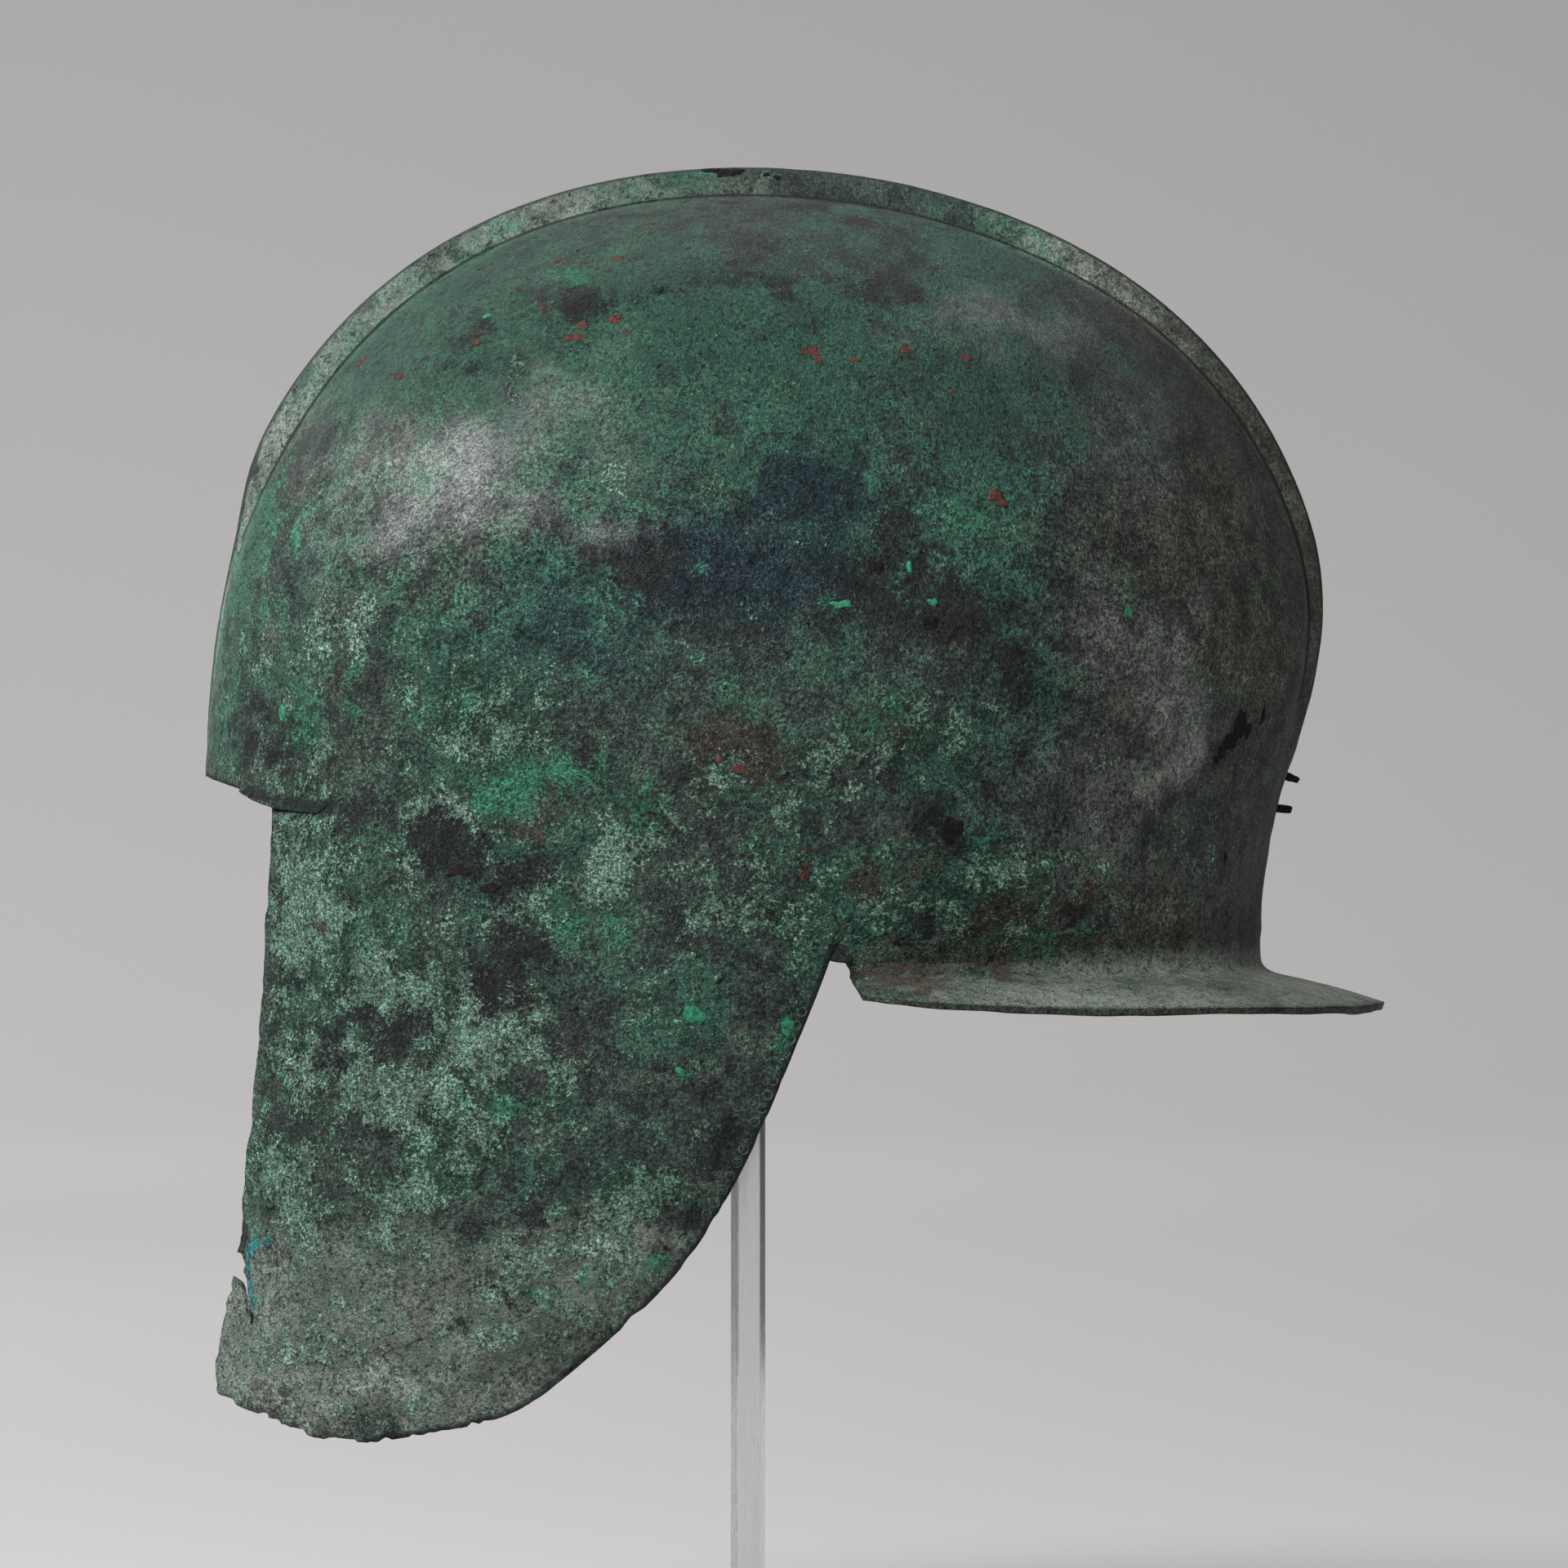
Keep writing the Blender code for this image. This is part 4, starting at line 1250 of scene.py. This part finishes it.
# Hairlines: thin seams in the patina, and two dark lines of painted shadow along the notch's lips,
# as fine raised lines on the sheet
hairlines = {
    "stepsPerStretch": 8,
    "waver": 0.9,
    "sunk": 0.3,
    "seed": 5,
    # thickness, then places on the left side in the photo
    "lines": (
        (0.00024, (455, 697), (470, 687), (487, 683), (500, 680)),
        (0.00013, (500, 680), (520, 676), (538, 669), (560, 670), (590, 664)),
        (0.00012, (700, 1336), (740, 1341), (790, 1338), (830, 1334), (868, 1334)),
        (0.00016, (826, 1418), (838, 1432), (850, 1446), (862, 1462)),
        (0.00014, (1113, 1018), (1122, 1004), (1132, 993), (1144, 985)),
        (0.00013, (1156, 978), (1170, 968), (1186, 957), (1196, 944), (1208, 935)),
        (0.00013, (1403, 427), (1414, 452), (1430, 480)),
        (0.00013, (1493, 533), (1512, 572), (1530, 612), (1543, 650)),
        (0.00013, (1443, 703), (1456, 735), (1470, 757), (1479, 776)),
        # these two are painted shadow along the notch's lips
        (0.0003, (1021, 1119), (1025, 1127), (1026, 1135), (1021, 1147), (1017, 1157)),
        (0.00026, (1026, 1135), (1029, 1144), (1032, 1153)),
        (0.00016, (1494, 806), (1491, 830), (1495, 850), (1492, 872)),
        (0.00013, (1430, 1010), (1436, 1030), (1431, 1052)),
        (0.00013, (1456, 1030), (1461, 1046), (1457, 1060)),
    ),
}

def makeHairlines(helmet):
    look = hairlines
    tree = surfaceTree(helmet)
    picker = random.Random(look["seed"])
    steps, waver = look["stepsPerStretch"], look["waver"]
    pieces = []
    for thick, *line in look["lines"]:
        corners = []
        for a, b in zip(line, line[1:]):
            for i in range(steps):
                place = [p + (q - p) * i / steps for p, q in zip(a, b)]
                hit = photoHit(tree, *(each + picker.uniform(-waver, waver) for each in place))
                if hit and hit[0].y < 0:
                    corners.append(hit[0] - hit[1] * thick * look["sunk"])
        mesh = bpy.data.meshes.new("hairline")
        mesh.from_pydata(corners, [(i, i + 1) for i in range(len(corners) - 1)], [])
        piece = bpy.data.objects.new("hairline", mesh)
        bpy.context.scene.collection.objects.link(piece)
        only(piece)
        bpy.ops.object.convert(target="CURVE")
        piece.data.bevel_depth = thick
        piece.data.bevel_resolution = 1
        piece.data.use_fill_caps = True
        bpy.ops.object.convert(target="MESH")
        pieces.append(piece)
    joined = joinAs("patina_hairlines_and_lip_shadows", pieces)
    shadeSmooth(joined)
    print("hairlines", len(joined.data.polygons), "faces")
    return joined


# Flakes and blisters: small flat lumps that lie on the sheet
flakes = {
    "height": 0.00016,
    "apart": 60,  # photo pixels that a spot is moved by on the side that isn't seen
    "wobble": 0.55,
    "rayFrom": 0.004,
    "rayReach": 0.012,
    # photo x, y, reach across, reach down
    "cuprite": (
        (993, 430, 13, 7), (1003, 441, 7, 6), (1044, 441, 7, 5), (1108, 428, 7, 6),
        (1184, 438, 7, 5), (1219, 607, 11, 9), (1228, 616, 7, 6), (1166, 479, 4, 3),
        (664, 376, 7, 5), (754, 391, 9, 7), (713, 398, 6, 5), (706, 413, 13, 5), (640, 386, 4, 3),
        (685, 320, 8, 4), (757, 316, 8, 6), (797, 274, 9, 3), (798, 285, 6, 2), (584, 419, 6, 5),
        (588, 407, 4, 6), (489, 461, 8, 6), (478, 458, 4, 3), (443, 442, 8, 9), (633, 353, 5, 3),
        (587, 329, 5, 3), (985, 1071, 7, 6), (986, 1060, 4, 3), (986, 1040, 4, 3), (766, 405, 5, 3),
        (905, 942, 9, 5), (880, 930, 6, 4),
    ),
    "vivid": (
        (850, 1243, 12, 10), (833, 1312, 6, 6), (1032, 740, 14, 5), (1141, 737, 7, 5),
        (1114, 695, 3, 9), (966, 1257, 8, 11), (596, 387, 7, 4), (1383, 750, 6, 6),
        (345, 872, 6, 9), (1033, 1123, 3, 3),
    ),
    "turquoise": (
        (302, 1530, 2, 5), (303, 1543, 2.5, 7), (304, 1556, 2, 8), (306, 1570, 3, 8),
        (308, 1585, 2.5, 8), (310, 1598, 3, 7), (312, 1610, 2, 5), (306, 1538, 1.5, 3),
        (309, 1563, 1.5, 4), (313, 1592, 1.5, 4),
    ),
    "scab": (
        (1519, 888, 13, 22), (1506, 908, 16, 11), (1496, 921, 10, 8), (1489, 930, 6, 6),
        (1528, 896, 10, 10), (1546, 878, 5, 11), (1140, 760, 10, 7), (1074, 694, 9, 8),
        (560, 1066, 18, 7), (600, 1088, 12, 6), (872, 208, 14, 5), (890, 212, 16, 7),
        (903, 209, 8, 4), (938, 214, 4, 3), (952, 217, 5, 3), (309, 1614, 3, 8),
        (1165, 1016, 14, 16), (1500, 1050, 4, 7),
    ),
}
blisters = {
    "count": 520,
    "reach": (0.00035, 0.00130),
    "height": (0.00012, 0.00034),
    "oval": (0.5, 1.0),
    "leastFace": 1.2e-6,
    "leastFacing": 0.6,
    "crestAbove": 0.2,
    # none on the flange, and fewer above this level
    "flange": (0.02, 0.175),
    "bowlAbove": 0.20,
    "bowlShare": 0.35,
    "crustier": 0.25,
    "seed": 77,
}


def layFlake(tree, first, place, normal, across, down, height, picker):
    level = Vector((0, 0, 1)).cross(normal)
    level = level.normalized() if level.length > 0.05 else Vector((1, 0, 0))
    upward = normal.cross(level)
    flake = first.copy()
    flake.data = first.data.copy()
    bpy.context.scene.collection.objects.link(flake)
    seed = picker.uniform(0, 50)
    for vertex in flake.data.vertices:
        u, v, w = vertex.co
        wobble = 1 + flakes["wobble"] * noise.noise(Vector((u * 1.5 + seed, v * 1.5, seed)))
        aim = place + level * (u * across * wobble) + upward * (v * down * wobble)
        hit = rayHit(tree, aim + normal * flakes["rayFrom"], -normal, flakes["rayReach"])
        vertex.co = (hit[0] if hit else aim) + normal * (w * height)
    return flake


def joinFlakes(pieces, name):
    joined = joinAs(name, pieces)
    keepInside(joined, verticesOf(joined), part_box("helmet_shell"))
    shadeSmooth(joined)
    print(name, len(pieces), "pieces")
    return joined


def makeFlakes(helmet, kind):
    tree = surfaceTree(helmet)
    picker = random.Random(len(flakes[kind]))
    apart = flakes["apart"]
    bpy.ops.mesh.primitive_ico_sphere_add(subdivisions=3, radius=1)
    first = bpy.context.object
    pieces = []
    for x, y, across, down in flakes[kind]:
        for side in (-1, 1):
            if side == 1:
                x, y = (each + picker.uniform(-apart, apart) for each in (x, y))
            hit = photoHit(tree, x, y, side)
            if hit and hit[0].y * side >= 0.01:
                size = (across * pixel, down * pixel, flakes["height"])
                pieces.append(layFlake(tree, first, *hit, *size, picker))
    bpy.data.objects.remove(first)
    return joinFlakes(pieces, kind + "_flakes")


def makeBlisters(helmet):
    look = blisters
    tree = surfaceTree(helmet)
    picker = random.Random(look["seed"])
    bpy.ops.mesh.primitive_uv_sphere_add(segments=8, ring_count=5, radius=1)
    first = bpy.context.object
    faces = helmet.data.polygons
    flangeFrom, flangeBelow = look["flange"]
    pieces = []
    while len(pieces) < look["count"]:
        face = faces[picker.randrange(len(faces))]
        place, normal = face.center, face.normal
        facing = normal.dot(Vector(outwardAt(np.array([place]))[0]))
        onCrest = abs(place.y) < helmetLook["crestReach"] and place.z > look["crestAbove"]
        if facing < look["leastFacing"] or face.area < look["leastFace"] or onCrest:
            continue
        if place.x > flangeFrom and place.z < flangeBelow:
            continue
        if picker.random() > (1.0 if place.z < look["bowlAbove"] else look["bowlShare"]):
            continue
        share = picker.uniform(0, 1) ** 2
        across, height = (
            low + (high - low) * share for low, high in (look["reach"], look["height"])
        )
        down = across * picker.uniform(*look["oval"])
        pieces.append(layFlake(tree, first, place, normal, across, down, height, picker))
    bpy.data.objects.remove(first)
    joined = joinFlakes(pieces, "crust_blisters")
    takePatina(joined, helmet, look["crustier"])
    return joined


# Webs: the sheet's torn remainder set back in the notch behind each cheekpiece
web = {
    # photo places of its corners, and how far beside them the sheet is met
    "places": ((1010, 1132), (1044, 1176)),
    "beside": (-4, 10),
    "thick": 0.0016,
    "setBack": 0.0020,
    "cuts": 5,
    "slant": 0.0008,
    "rough": (0.00030, 0.0016, 3, 50),  # depth, size, octaves, first seed
}


def makeWebs(helmet):
    tree = surfaceTree(helmet)
    (x0, y0), (x1, y1) = web["places"]
    near = zip((x0, x1), web["beside"])
    first, second = (photoHit(tree, x + beside, y0)[0] for x, beside in near)
    middle = (first + second) / 2
    slope = (second.y - first.y) / (second.x - first.x)
    scale = pixel * (camera["distance"] + middle.y) / camera["distance"]
    left, right = (camera["place"][0] + (x - middlePixel) * scale for x in (x0, x1))
    upper, lower = (camera["place"][1] - (y - middlePixel) * scale for y in (y0, y1))
    depth, size, octaves, seed = web["rough"]
    pieces = []
    for side in (-1, 1):
        y = side * (abs(middle.y) - web["setBack"])
        place = ((left + right) / 2, y, (lower + upper) / 2)
        bpy.ops.mesh.primitive_cube_add(size=1, location=place)
        plate = bpy.context.object
        plate.scale = (right - left, web["thick"], upper - lower)
        bpy.ops.object.transform_apply(location=True, rotation=True, scale=True)
        editMode(plate)
        bpy.ops.mesh.subdivide(number_cuts=web["cuts"])
        objectMode()
        points = verticesOf(plate)
        points[:, 1] += -side * slope * (points[:, 0] - middle.x)
        foot = smoothStep(upper, lower, points[:, 2])
        points[:, 2] -= web["slant"] * foot * (points[:, 0] - left) / (right - left)
        shifts = [fractalAt(points, size, octaves, seed + i) for i in range(3)]
        putVertices(plate, points + depth * np.stack(shifts, axis=1))
        pieces.append(plate)
    joined = joinAs("notch_webs", pieces)
    editMode(joined)
    bpy.ops.mesh.normals_make_consistent(inside=False)
    objectMode()
    shadeSmooth(joined)
    print("webs", len(joined.data.polygons), "faces")
    return joined


# Pins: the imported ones, roughened
pinLook = {
    "levels": 2,
    "crease": 0.6,
    "rimAngle": 60,
    "rough": (0.00034, 0.0011, 3, 41),  # depth, size, octaves, seed
    "less": 0.3,
    "proud": (0.1045, 0.1060),  # only the ends outside the sheet are rough
}


def makePin(name, newName):
    look = pinLook
    piece = copyNode(name, newName)
    creaseAndSmooth(piece, look)
    points = verticesOf(piece)
    normals = verticesOf(piece, "normal")
    depth, *cloud = look["rough"]
    rough = depth * (fractalAt(points, *cloud) - look["less"])
    rough *= smoothStep(*look["proud"], points[:, 0])
    keepInside(piece, points + normals * rough[:, None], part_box(name))
    shadeSmooth(piece)
    return piece


def dress(piece, material, slot, *replaced):
    piece.data.materials.clear()
    piece.data.materials.append(material)
    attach(piece, "root")
    if replaced:
        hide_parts(*replaced)


makeCamera()
makeStudio()
helmet = makeHelmet()
grain = grainGroup()
bronze = bronzeMaterial(grain, raggedGroup())
dress(helmet, bronze, "bronze", "helmet_shell")
dress(makeRings(helmet), crustMaterial("ring_crust", grain), "bronze")
seamAndShadowMaterial = crustMaterial("seam_crust_and_lip_shadows", grain)
dress(makeHairlines(helmet), seamAndShadowMaterial, "bronze")
dress(makeBlisters(helmet), bronze, "bronze")
for kind, crust in (
    ("cuprite", "cuprite_spots"),
    ("vivid", "malachite_spots"),
    ("scab", "dark_scabs"),
    ("turquoise", "turquoise_spots"),
):
    dress(makeFlakes(helmet, kind), crustMaterial(crust, grain), "bronze")
dress(makeWebs(helmet), seamAndShadowMaterial, "bronze")
pinMaterial = crustMaterial("dark_pin", grain)
dress(makePin("crest_pin_upper", "pin_upper"), pinMaterial, "pin_bronze", "crest_pin_upper")
dress(makePin("crest_pin_lower", "pin_lower"), pinMaterial, "pin_bronze", "crest_pin_lower")
frosted = acrylicMaterial("frosted")
setMaterial(cadNodes["stand_post"], acrylicMaterial("clear"))
setMaterial(cadNodes["stand_base"], frosted)
setMaterial(cadNodes["stand_pad"], frosted)
print("materials ready")
